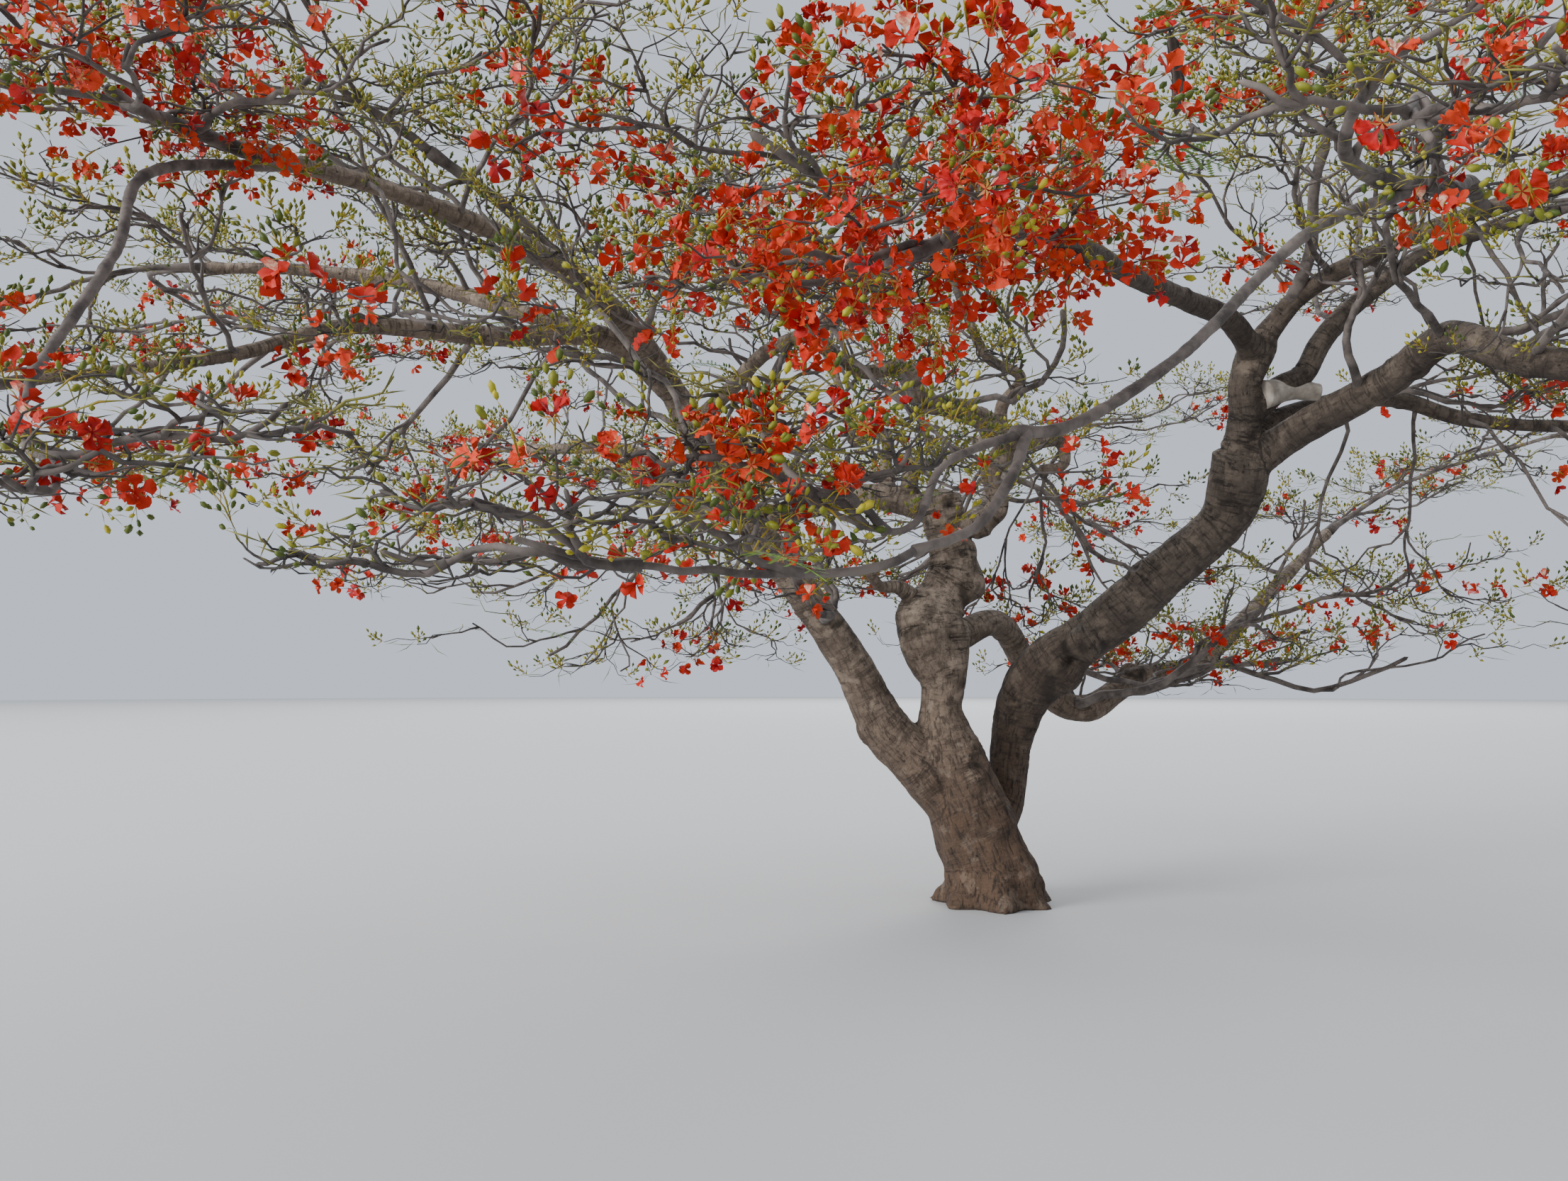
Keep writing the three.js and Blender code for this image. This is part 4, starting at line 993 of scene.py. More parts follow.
def stems():
    """Level 0: each mass's stem, from its limb's tip along the limb's line and over to below the middle."""
    middle, half = spaces()
    names = [m.limb for m in MASSES]
    start, way, radius, tip = [], [], [], []
    for number, mass in enumerate(MASSES):
        wood = skeleton()[mass.limb]
        heading = wood.heading(1.0, 0.004)
        tip.append(wood.radii[-1])
        place = wood.place(1.0) + heading * JOIN_GAP
        paired = [k for k, name in enumerate(names) if name == mass.limb and k != number]
        if paired:
            apart = unit(across(middle[number] - middle[paired[0]], heading))
            place = place + apart * tip[-1] * PAIR_OFFSET
        start.append(place)
        way.append(heading)
        radius.append(tip[-1] * (PAIR_STEM if paired else STEM))
    start, way, radius, tip = (np.array(v) for v in (start, way, radius, tip))
    end = middle + np.array([0, 0, STEM_LIFT]) * half
    run = np.linalg.norm(end - start, axis=1)
    count = len(MASSES)
    label = FIRST_LABEL * (np.arange(count) + 1.0)
    crooked = bent_path(start, way, end, label, 0) - bent_path(start, way, end, label * 0, 0)
    t = np.linspace(0, 1, PLACES[0])[None, :, None]
    bend = start[:, None] + way[:, None] * STEM_BEND * run[:, None, None]
    path = (1 - t) ** 2 * start[:, None] + 2 * (1 - t) * t * bend + t**2 * end[:, None] + 0.5 * crooked
    radius = np.maximum(radius, np.minimum(THINNEST[0], tip))
    bloom, sparse, shoots, clump = (np.array([getattr(m, key) for m in MASSES]) for key in Mass._fields[4:])
    return SimpleNamespace(
        level=0, depth=0, own=True, space=spaces(), group=np.arange(count), label=label, counts=shoots,
        part=np.zeros((count, 3)), size=np.ones(count), radius=radius, path=path, bloom=bloom, clump=clump,
        sparse=sparse, flare=np.minimum(tip / radius - 1, WIDEST_FLARE), flowering=np.zeros(count, bool))


def spray_stems():
    """The side shoots of the limbs between their forks. Each leaves its limb's side by turns left and right,
    most of them forward and up, and some hang. Each has a small space of its own round its end."""
    rows = []
    for number, limb in enumerate(LIMBS):
        if limb.name in BARE_LIMBS:
            continue
        wood = skeleton()[limb.name]
        for k, share in enumerate(np.arange(SPRAY_START, SPRAY_STOP, SPRAY_GAP / wood.length)):
            label = SPRAY_LABEL + 100 * number + k
            share = min(share + 0.4 * SPRAY_GAP / wood.length * chance(label, DRAW.shoot_place), SPRAY_STOP)
            heading = wood.heading(share)
            side = unit(np.cross(heading, UP)) * (-1) ** k
            lift = unit(np.cross(np.cross(heading, UP), heading))
            turn = -0.35 + 1.5 * chance(label, DRAW.shoot_turn)
            hangs = chance(label, DRAW.hangs) < HANGING_SHARES.get(limb.name, HANGING_SHARE)
            base, more = HANGING_LENGTH if hangs else SPRAY_LENGTH
            if hangs:
                way = 0.35 * heading + 0.7 * side - 0.7 * UP
            else:
                way = 0.6 * heading + math.cos(turn) * side + math.sin(turn) * lift
            radius = float(wood.radius(share))
            length = base + more * float(chance(label, DRAW.shoot_length))
            length = length * min(max(radius / 0.04, 0.7), 1.25)
            start = wood.place(share)
            end = start + unit(way) * length
            end[2] = max(end[2], LOWEST_TIP)
            rows.append((label, start, unit(way + 0.5 * side), end, length, radius, hangs))
    label, start, way, end, length, thick, hangs = (np.array(v) for v in zip(*rows))
    count = len(label)
    path = bent_path(start, way, end, label, 1)
    keep = clear_of_wood(path, start, SPRAY_CLEARANCE, SPRAY_CLEAR_FROM)
    girth = np.maximum(0.3 * thick, THINNEST[1]) * (0.8 + 0.4 * chance(label, DRAW.shoot_girth))
    whole = {"group": np.arange(count), "label": label.astype(float), "part": np.zeros((count, 3)),
             "size": np.ones(count), "radius": girth, "path": path, "flare": np.full(count, FLARE),
             "flowering": np.zeros(count, bool)}
    half = length[:, None] * np.array(SPRAY_HALF)
    return SimpleNamespace(
        level=1, depth=0, own=False, space=(end, half), bloom=np.where(hangs, HANGING_BLOOM, SPRAY_BLOOM),
        counts=None, clump=np.zeros((count, 3)), sparse=np.full(count, SPRAY_SPARSE),
        **{key: values[keep] for key, values in whole.items()})


def next_level(parent, children):
    """The shoots that leave those of one level, by the same rule as the solids: each has its own part of the
    mass's space, a step from its parent's part, with a seeded turn and lift, and ends there. It leaves its
    parent a little before the place abreast of its end."""
    level, depth = parent.level + 1, parent.depth
    counts = np.full(len(parent.label), children) if parent.counts is None else parent.counts
    row = np.repeat(np.arange(len(counts)), counts)
    number = np.arange(len(row)) - np.repeat(np.cumsum(counts) - counts, counts)
    group = parent.group[row]
    label = parent.label[row] * LABEL_STEP + number + 1
    share_of_turn = (number + TURN_PLAY * chance(label, DRAW.turn)) / counts[row]
    turn = TURN * (chance(parent.label, DRAW.phase)[row] + share_of_turn)
    lift = LIFT * (2 * chance(label, DRAW.lift) - 1)
    step = np.stack([np.cos(turn) * np.cos(lift), np.sin(turn) * np.cos(lift), np.sin(lift)], axis=1)
    part = parent.part[row] + step * (SPREADS[depth] * parent.size[row])[:, None]
    part *= np.minimum(1, REACH / np.linalg.norm(part, axis=1))[:, None]
    middle, half = parent.space
    end = middle[group] + part * half[group]
    path = parent.path[row]
    chord = path[:, -1] - path[:, 0]
    abreast = np.sum((end - path[:, 0]) * chord, axis=1) / np.sum(chord**2, axis=1)
    first = FIRST_FORK + FORK_PLAY * chance(label, DRAW.first)
    last = LAST_FORK - FORK_PLAY * chance(label, DRAW.last)
    leave = np.clip(abreast - FORWARD, first, last)
    start, way = on_paths(path, leave)
    radius = np.maximum(THICKNESS[level] * parent.radius[row] * (1 - TIP_TAPER * leave), THINNEST[level])
    flowering = parent.flowering[row]
    if level == GROUP_LEVEL:
        clump = parent.clump[group]
        inside = np.hypot(part[:, 0] - clump[:, 0], part[:, 2] - clump[:, 1]) < clump[:, 2]
        flowering = chance(label, DRAW.bloom) < np.where(inside, CLUMP_BLOOM, parent.bloom[group])
    if level == TWIG_LEVEL:
        flowering = flowering & (chance(label, DRAW.bare) >= parent.sparse[group])
    made = bent_path(start, unit(way + 0.7 * unit(end - start)), end, label, level)
    straight = start[:, None] + (end - start)[:, None] * np.linspace(0, 1, 8)[None, :, None]
    if level < GROUP_LEVEL:
        keep = clear_of_wood(straight, start, CLEARANCE, CLEAR_FROM)
    else:
        keep = clear_of_wood(made, start, TWIG_CLEARANCE, CLEAR_FROM)
    if parent.own:
        depths = depth_in(spaces(), straight)
        own = np.take_along_axis(depths, group[:, None, None], axis=2)[..., 0]
        own = own + SPACE_MARGIN * (level < GROUP_LEVEL)
        depths[np.arange(len(group))[:, None], np.arange(8)[None, :], group[:, None]] = np.inf
        exempt = np.linalg.norm(straight - start[:, None], axis=2) < ROOT_REACH
        keep &= np.all((own < depths.min(axis=2)) | exempt, axis=1)
    grown = {"group": group, "label": label, "part": part, "size": parent.size[row] * SHRINKS[depth],
             "radius": radius, "path": made, "flowering": flowering, "flare": np.full(len(row), FLARE)}
    kept = {key: values[keep] for key, values in grown.items()}
    rest = {key: getattr(parent, key) for key in ("own", "space", "bloom", "clump", "sparse")}
    return SimpleNamespace(level=level, depth=depth + 1, counts=None, **kept, **rest)


# The quarters of the crown, and the place where they meet
QUARTERS = ("front_left", "front_right", "back_left", "back_right")
MIDDLE_X = -0.6
MIDDLE_Y = -1.0


def quarter_of(places):
    """Which quarter of the crown each place is in."""
    return (places[:, 0] > MIDDLE_X).astype(int) + 2 * (places[:, 1] > MIDDLE_Y)


def nodes_of(quarter):
    """The names of the masses in one quarter."""
    return [m.name for m, q in zip(MASSES, quarter_of(spaces()[0])) if q == quarter]


@functools.lru_cache
def crown():
    """Every level of shoots from the stems to the finest twigs, those of the masses and of the limbs' side
    shoots together, each with its quarter of the crown, whether it is near the viewer, and how sparse its
    mass is."""
    levels = [[] for _ in PLACES]
    for shoots, counts in ((stems(), CHILDREN), (spray_stems(), SPRAY_CHILDREN)):
        levels[shoots.level].append(shoots)
        for children in counts:
            shoots = next_level(shoots, children)
            levels[shoots.level].append(shoots)
    made = []
    for level, parts in enumerate(levels):
        keys = ("label", "part", "radius", "path", "flowering", "flare")
        whole = {key: np.concatenate([getattr(p, key) for p in parts]) for key in keys}
        whole["quarter"] = np.concatenate([quarter_of(p.space[0])[p.group] for p in parts])
        whole["near"] = np.concatenate([(p.group < NEAR_MASSES) & p.own for p in parts])
        whole["sparse"] = np.concatenate([p.sparse[p.group] for p in parts])
        made.append(SimpleNamespace(level=level, **whole))
    return made


def level_tubes(level, keep):
    """The shoots of one level as tubes that taper towards their tips and flare at their roots. The finest are
    slivers: three points round the middle between a point at each end."""
    if level.level == FINEST_LEVEL:
        path = level.path[keep]
        return spindles(path[:, 0], path[:, -1], level.radius[keep], path[:, 1])
    path, radius = level.path[keep], level.radius[keep, None]
    share = np.linspace(0, 1, path.shape[1])
    run = np.linalg.norm(path[:, -1] - path[:, 0], axis=1)[:, None]
    length = FLARE_LENGTH * (STEM_FLARE if level.level == 0 else 1)
    flare = level.flare[keep, None] * np.exp(-share * run / (length * radius))
    return tubes(path, radius * (1 - TIP_TAPER * share + flare), ROUND[level.level])


class TreeSizes(bpy.types.PropertyGroup):
    """The sizes that a user would change."""

    voxel: bpy.props.FloatProperty(
        name="Bark detail", description="Edge of the small cubes that the bark's skin is made from",
        default=0.0188, min=0.008, max=0.05, unit="LENGTH")
    petal: bpy.props.FloatProperty(
        name="Petal length", description="Length of a petal from the flower's middle to its rim",
        default=0.052, min=0.03, max=0.1, unit="LENGTH")
    bud: bpy.props.FloatProperty(
        name="Bud length", description="Length of a large flower bud", default=0.034, min=0.01, max=0.05,
        unit="LENGTH")
    leaf: bpy.props.FloatProperty(
        name="Leaf length", description="Length of a ferny leaf", default=0.34, min=0.1, max=0.6,
        unit="LENGTH")
    pod: bpy.props.FloatProperty(
        name="Pod length", description="Length of the hanging seed pod", default=0.3, min=0.2, max=0.7,
        unit="LENGTH")


class TreeColours(bpy.types.PropertyGroup):
    """The colours that a user would change."""

    scarlet: bpy.props.FloatVectorProperty(
        name="Scarlet petals", description="Colour of most petals", default=(0.46, 0.0105, 0.0055), size=3,
        subtype="COLOR", min=0, max=1)
    orange: bpy.props.FloatVectorProperty(
        name="Orange petals", description="Colour of the lighter petals", default=(0.6, 0.05, 0.011), size=3,
        subtype="COLOR", min=0, max=1)
    crimson: bpy.props.FloatVectorProperty(
        name="Crimson petals", description="Colour of the older petals", default=(0.3, 0.0045, 0.009), size=3,
        subtype="COLOR", min=0, max=1)
    bark: bpy.props.FloatVectorProperty(
        name="Bark", description="Colour of the paler bark", default=(0.385, 0.3, 0.228), size=3,
        subtype="COLOR", min=0, max=1)
    # The bark low on the trunk is darkened as painted shade as well as warmed
    warm_bark: bpy.props.FloatVectorProperty(
        name="Warm bark", description="Colour of the bark low on the trunk", default=(0.118, 0.07, 0.043),
        size=3, subtype="COLOR", min=0, max=1)


def sizes():
    return bpy.context.scene.flame_tree_sizes


def colours():
    return bpy.context.scene.flame_tree_colours


class FLAMETREE_OT_bark(bpy.types.Operator):
    """Makes the bark of the trunk and the thick boughs"""

    bl_idname = "flametree.bark"
    bl_label = "Trunk and boughs"

    def execute(self, context):
        grey, warm = tuple(colours().bark), tuple(colours().warm_bark)
        bark = bark_finish("bark", grey, (0.088, 0.064, 0.048), warm)
        bark_skin("trunk_and_left_boughs", LEFT_FAMILY, sizes().voxel, bark)
        # Painted shade: the right boughs get a copy of the bark at under half its brightness, with a darker
        # dark colour, for the shade they stand in
        darker = bark_finish("darker_bark", shaded(grey, 0.46), (0.05, 0.037, 0.03), warm)
        bark_skin("right_boughs", RIGHT_FAMILY, sizes().voxel, darker)
        return {"FINISHED"}


# The sawn limb: its sides, where it starts inside the bough, and how much thicker it is there
SAWN_SIDES = 20
SAWN_ROOT = (1.74, -0.98, 3.63)
SAWN_SWELL = 0.045


class FLAMETREE_OT_limbs(bpy.types.Operator):
    """Makes the thin limbs and the stems and first shoots that carry the twigs"""

    bl_idname = "flametree.limbs"
    bl_label = "Thin limbs and stems"

    def execute(self, context):
        young = twig_finish("young_bark", (0.16, 0.132, 0.115), (0.05, 0.04, 0.035))
        thin = [limb.name for limb in LIMBS if limb.name not in (*LEFT_FAMILY, *RIGHT_FAMILY, SAWN_LIMB)]
        vertices, faces = joined([limb_tube(skeleton()[name], 16, 0.02) for name in thin])
        raised = 0.003 * ripple(vertices, 0.12, 8) + 0.0022 * ripple(vertices, 0.045, 9)
        vertices = lifted(vertices, faces, raised)
        fit_in(mesh_piece("thin_limbs", vertices, faces, [young]), thin)
        for quarter, name in enumerate(QUARTERS):
            parts = [level_tubes(level, level.quarter == quarter) for level in crown()[:GROUP_LEVEL]]
            fit_in(mesh_piece(f"stems_{name}", *joined(parts), [young]), nodes_of(quarter))
        return {"FINISHED"}


class FLAMETREE_OT_sawn_limb(bpy.types.Operator):
    """Makes the pale limb that was sawn off on the right"""

    bl_idname = "flametree.sawn_limb"
    bl_label = "Sawn limb"

    def execute(self, context):
        pale = twig_finish("bare_wood", (0.42, 0.37, 0.31), (0.2, 0.17, 0.14))
        cut = twig_finish("sawn_face", (0.5, 0.43, 0.34), (0.3, 0.24, 0.18))
        wood = skeleton()[SAWN_LIMB]
        share = np.append(np.linspace(0, 0.97, 20), [0.99, 1.0])
        path = smooth_line([SAWN_ROOT, *wood.place(np.array([0.4, 1.0]))])
        line = Wood(SAWN_LIMB, path, wood.radii)
        radii = wood.radii[-1] + SAWN_SWELL * (1 - share) ** 1.5
        radii[-1] *= 0.96
        vertices, faces = tubes(line.place(share)[None], radii[None], SAWN_SIDES, tip_length=0.01)
        raised = 0.005 * ripple(vertices, 0.09, 12) + 0.003 * ripple(vertices, 0.03, 13)
        away = np.linalg.norm(vertices - wood.place(1.0), axis=1)
        sides = np.clip((away - 0.9 * wood.radii[-1]) / 0.02, 0, 1)
        vertices = lifted(vertices, faces, raised * sides)
        dealt = np.arange(len(faces)) >= len(faces) - SAWN_SIDES
        fit_in(mesh_piece("sawn_limb", vertices, faces, [pale, cut], dealt), [SAWN_LIMB])
        return {"FINISHED"}


# How high in its mass a twig is green, as a share of the half size
FRESH_ABOVE = 0.2


class FLAMETREE_OT_twigs(bpy.types.Operator):
    """Makes the fine dark twigs"""

    bl_idname = "flametree.twigs"
    bl_label = "Twigs"

    def execute(self, context):
        dark = twig_finish("twig_bark", (0.1, 0.082, 0.07), (0.034, 0.028, 0.024))
        green = twig_finish("green_twig", (0.2, 0.185, 0.028), (0.115, 0.105, 0.02))
        for quarter, name in enumerate(QUARTERS):
            parts, dealt = [], []
            for level in crown()[GROUP_LEVEL:]:
                keep = level.quarter == quarter
                made = level_tubes(level, keep)
                lowest = BARE_BELOW if level.level == FINEST_LEVEL else FRESH_ABOVE
                fresh = (level.level > GROUP_LEVEL) & (level.part[keep, 2] > lowest) & ~level.flowering[keep]
                parts.append(made)
                dealt.append(np.repeat(fresh, len(made[1]) // len(fresh)))
            vertices, faces = joined(parts)
            piece = mesh_piece(f"twigs_{name}", vertices, faces, [dark, green], np.concatenate(dealt))
            fit_in(piece, nodes_of(quarter))
        return {"FINISHED"}


def turned(local, facing, spin):
    """Local vectors (x up the item, y across, z along the facing) of each item turned to its own facing and
    spin. local is shaped items, ..., 3."""
    first = unit(across(np.where(np.abs(facing[:, 2:3]) < 0.95, UP, RIGHT), facing))
    second = np.cross(facing, first)
    x = np.cos(spin)[:, None] * first + np.sin(spin)[:, None] * second
    y = -np.sin(spin)[:, None] * first + np.cos(spin)[:, None] * second
    basis = np.stack([x, y, facing], axis=1)
    flat = local.reshape(len(local), math.prod(local.shape[1:-1]), 3)
    return np.einsum("nvk,nkj->nvj", flat, basis).reshape(local.shape)


# A petal's grid: its rows, each with the place along it, its half width there and how far its sides lag
# behind its middle, and its columns across it. Flowers close to the eye have the closest grid, those of the
# masses near the viewer the fine one, and the rest the plain one.
PetalGrid = namedtuple("PetalGrid", "rows columns")
CLOSE_PETAL = PetalGrid(
    ((0, 0.03, 0), (0.36, 0.07, 0), (0.56, 0.24, 0.01), (0.74, 0.38, 0.03), (0.9, 0.37, 0.08),
     (1, 0.26, 0.16)),
    (-1.0, -0.72, -0.36, 0.0, 0.36, 0.72, 1.0))
FINE_PETAL = PetalGrid(
    ((0, 0.035, 0), (0.4, 0.09, 0), (0.66, 0.35, 0.03), (1, 0.3, 0.13)), (-1.0, -0.36, 0.36, 1.0))
PLAIN_PETAL = PetalGrid(((0, 0.06, 0), (0.6, 0.32, 0.02), (1, 0.3, 0.14)), (-1.0, 0.0, 1.0))
PETALS = 5
RUFFLE = 0.95


def petals(base, facing, spin, size, seed, grid):
    """Flowers: five petals each. A petal is a grid of places along it and across it. Its middle line starts
    near the flower's facing and bends outwards, by adding up steps whose angle grows along it. Its half width
    comes from its rows: a narrow claw, then a round blade. Its sides curl up, and its blade is ruffled by
    seeded heights. Returns vertices, faces, each vertex's place along its petal and each face's petal."""
    rng = np.random.default_rng(seed)
    count = len(base)
    along, half, lag = np.array(grid.rows).T
    rows, columns = len(along), len(grid.columns)
    shape = (count, PETALS)
    start = rng.uniform(0.2, 0.7, shape)
    stop = rng.uniform(0.7, 2.1, shape) + 0.4 * rng.uniform(-1, 1, (count, 1))
    angle = start[..., None] + (stop - start)[..., None] * along**1.2
    step = np.diff(along, prepend=0) * size[:, None, None]
    out = np.cumsum(np.sin(angle) * step, axis=2)
    high = np.cumsum(np.cos(angle) * step, axis=2)
    swing = TURN * np.arange(PETALS) / PETALS + rng.uniform(-0.2, 0.2, shape)
    wide = half * size[:, None, None] * rng.uniform(0.85, 1.2, shape)[..., None]
    side = np.array(grid.columns)
    curl = rng.uniform(-0.2, 0.75, shape)[..., None, None] * side**2
    blade = (along > 0.5)[:, None]
    each = size[:, None, None, None]
    ruffle = RUFFLE / (columns + 0.5) * each * rng.uniform(-1, 1, (*shape, rows, columns)) * blade
    behind = (lag[:, None] * side**2) * each
    x = out[..., None] - behind * np.sin(angle)[..., None]
    y = wide[..., None] * side + 0.35 * np.roll(ruffle, 1, axis=3)
    z = high[..., None] - behind * np.cos(angle)[..., None] + curl * wide[..., None] + ruffle
    cos, sin = np.cos(swing)[..., None, None], np.sin(swing)[..., None, None]
    local = np.stack([x * cos - y * sin, x * sin + y * cos, z], axis=-1)
    vertices = base[:, None, None, None] + turned(local, facing, spin)
    row, column = np.meshgrid(np.arange(rows - 1), np.arange(columns - 1), indexing="ij")
    a = row * columns + column
    blade = np.stack([a, a + columns, a + columns + 1, a, a + columns + 1, a + 1], axis=-1).reshape(-1, 3)
    faces = copies(blade, rows * columns, count * PETALS)
    place = np.broadcast_to(along[:, None], (*shape, rows, columns)).ravel()
    number = np.repeat(np.tile(np.arange(PETALS), count), len(blade))
    return vertices.reshape(-1, 3), faces, place, number


# A sepal's four corners as shares of a petal: out from the middle, across, and along the facing
SEPAL = ((0.02, 0, -0.03), (0.2, 0.075, 0.0), (0.2, -0.075, 0.0), (0.5, 0, -0.16))


def sepals(base, facing, spin, size):
    """The five narrow sepals behind each flower, as folded darts."""
    swing = TURN * (np.arange(PETALS) + 0.5) / PETALS
    dart = np.array(SEPAL)
    cos, sin = np.cos(swing)[:, None], np.sin(swing)[:, None]
    star = [dart[:, 0] * cos - dart[:, 1] * sin, dart[:, 0] * sin + dart[:, 1] * cos, dart[:, 2] + 0 * cos]
    local = np.stack(star, axis=-1)[None] * size[:, None, None, None]
    vertices = base[:, None, None] + turned(local, facing, spin)
    return vertices.reshape(-1, 3), copies(np.array([[0, 1, 2], [1, 3, 2]]), 4, len(base) * PETALS)


# Buds: how much smaller those of the sprays are, how much larger than life the near and the far ones are,
# their girth as a share of their length, and the rings and sides of each kind
SMALL_BUD = 0.76
NEAR_BUD = 1.15
FAR_BUD = 1.75
BUD_GIRTH = 0.27
NEAR_BUD_RINGS = (((0.3, 0.85), (0.7, 0.95)), 4)
FAR_BUD_RINGS = (((0.55, 1.0),), 3)

# Radii of the stalks, and their faces: a dart has three points and a tip, a spindle three points between two
NEAR_STALK = 0.0014
FAR_STALK = 0.006
FLOWER_STALK = 0.0022
HEAD_AXIS = 0.004
SPRAY_AXIS = 0.003
DART = np.array([[0, 2, 1], [0, 1, 3], [1, 2, 3], [2, 0, 3]])
SPINDLE = np.array([[0, 2, 1], [0, 3, 2], [0, 1, 3], [1, 2, 4], [2, 3, 4], [3, 1, 4]])


def ovals(base, facing, length, girth, rings, sides):
    """Closed buds: rings of a few points, each at a share of the length with a share of the girth, between a
    foot and a tip."""
    angle = TURN * np.arange(sides) / sides
    ring = np.stack([np.cos(angle), np.sin(angle)], axis=1)
    rows = [np.column_stack([ring * wide, np.full(sides, high)]) for high, wide in rings]
    local = np.concatenate([[[0, 0, 0]], *rows, [[0, 0, 1]]])
    scale = np.stack([girth, girth, length], axis=1)
    vertices = base[:, None] + turned(local[None] * scale[:, None], facing, np.zeros(len(base)))
    k = np.arange(sides)
    n = (k + 1) % sides
    shell = [np.stack([0 * k, 1 + n, 1 + k], axis=1)]
    for row in range(len(rings) - 1):
        a, b = 1 + sides * row + k, 1 + sides * row + n
        shell += [np.stack([a, b, b + sides], axis=1), np.stack([a, b + sides, a + sides], axis=1)]
    top = sides * len(rings) + 1
    shell.append(np.stack([top - sides + k, top - sides + n, 0 * k + top], axis=1))
    return vertices.reshape(-1, 3), copies(np.concatenate(shell), top + 1, len(base))


def spokes(start, end):
    """Each stalk's direction, and three directions square to it, a third of a turn apart."""
    heading = unit(end - start)
    side = unit(across(UP + 0.01, heading))
    return heading, circle(3, side, np.cross(side, heading))


def darts(start, end, thick):
    """Thin closed stalks of four faces: three points round the foot and one at the end."""
    vertices = np.concatenate([start[:, None] + spokes(start, end)[1] * thick, end[:, None]], axis=1)
    return vertices.reshape(-1, 3), copies(DART, 4, len(start))


def spindles(start, end, thick, waist=None):
    """Thin closed stalks of six faces: a point at each end and three points round the place between them."""
    heading, spoke = spokes(start, end)
    run = np.linalg.norm(end - start, axis=1)[:, None]
    if waist is None:
        waist = 0.45 * start + 0.55 * end + 0.08 * run * UP
    foot, top = start - heading * thick[:, None], end + heading * thick[:, None]
    ring = waist[:, None] + spoke * thick[:, None, None]
    vertices = np.concatenate([foot[:, None], ring, top[:, None]], axis=1)
    return vertices.reshape(-1, 3), copies(SPINDLE, 5, len(start))


def fan(axis, count, label, low, high):
    """Directions round each axis like an umbrella's spokes, by turns of the golden angle: each leans away
    from the axis, by an angle from high at the first to low at the last. Returns rows, numbers, seeds and
    directions."""
    row = np.repeat(np.arange(len(axis)), count)
    k = np.tile(np.arange(count), len(axis))
    seed = label[row] * LABEL_STEP + k
    spin = GOLDEN_ANGLE * k + TURN * chance(label, DRAW.side)[row]
    lean = high - (high - low) * ((k + chance(seed, DRAW.lean)) / count)
    local = np.stack([np.cos(spin) * np.sin(lean), np.sin(spin) * np.sin(lean), np.cos(lean)], axis=1)
    return row, k, seed, turned(local[:, None], axis[row], np.zeros(len(row)))[:, 0]


# Heads of flowers: how many places each has, the share of places that are filled, how long the axis is and
# how much it rises. A mass more sparse than SPARSE_MASS has fewer flowers on its heads.
FLOWERS_ON_A_HEAD = 7
FAR_FLOWERS_ON_A_HEAD = 4
SPARSE_FLOWERS_ON_A_HEAD = 4
SPARSE_MASS = 0.45
BUDS_ON_A_HEAD = 7
FILLED_PLACES = 0.86
HEAD_LENGTH = 0.15
HEAD_RISE = 0.45
NEAR_HEAD_RISE = -0.15

# Flowers: how near the eye the closest are, how much larger than life the far ones are, below which tint a
# flower is orange or else crimson, and the share with a streaked petal
CLOSE_TO_EYE = 3.4
FAR_FLOWER = 1.1
ORANGE_BELOW = 0.36
CRIMSON_BELOW = 0.5
STREAKED_SHARE = 0.14


@functools.lru_cache
def heads():
    """The flowering twigs' ends. Each is a green axis with flowers on long stalks round its lower part, the
    lowest of which hang, and with buds on short stalks round its top. Some places on it stay empty."""
    twigs = crown()[TWIG_LEVEL]
    keep = twigs.flowering
    tip = twigs.path[keep, -1]
    label, quarter, near = twigs.label[keep], twigs.quarter[keep], twigs.near[keep]
    heading = unit(twigs.path[keep, -1] - twigs.path[keep, -2])
    rise = np.where(near, NEAR_HEAD_RISE, HEAD_RISE)
    axis = unit(0.45 * heading + 0.35 * twigs.part[keep] + rise[:, None] * UP)
    length = HEAD_LENGTH * (0.75 + 0.5 * chance(label, DRAW.head))
    made = {"axis": SimpleNamespace(root=tip, base=tip + axis * length[:, None], quarter=quarter)}
    for kind, number, lean, share, reach in (
        ("flower", FLOWERS_ON_A_HEAD, (0.75, 2.1), (0.05, 0.75), 0.085),
        ("bud", BUDS_ON_A_HEAD, (0.1, 1.2), (0.4, 1.0), 0.065),
    ):
        row, k, seed, way = fan(axis, number, label, *lean)
        place = share[0] + (share[1] - share[0]) * (k + 0.5) / number
        root = tip[row] + axis[row] * (length[row] * place)[:, None]
        base = root + way * (reach * (0.7 + 0.6 * chance(seed, DRAW.reach)))[:, None]
        here = chance(seed, DRAW.there) < FILLED_PLACES
        if kind == "flower":
            here &= near[row] | (k < FAR_FLOWERS_ON_A_HEAD)
            here &= ~(near & (twigs.sparse[keep] > SPARSE_MASS))[row] | (k < SPARSE_FLOWERS_ON_A_HEAD)
        every = {"root": root, "base": base, "way": way, "quarter": quarter[row], "near": near[row],
                 "head": label[row], "seed": seed}
        made[kind] = SimpleNamespace(**{key: values[here] for key, values in every.items()})
    return made


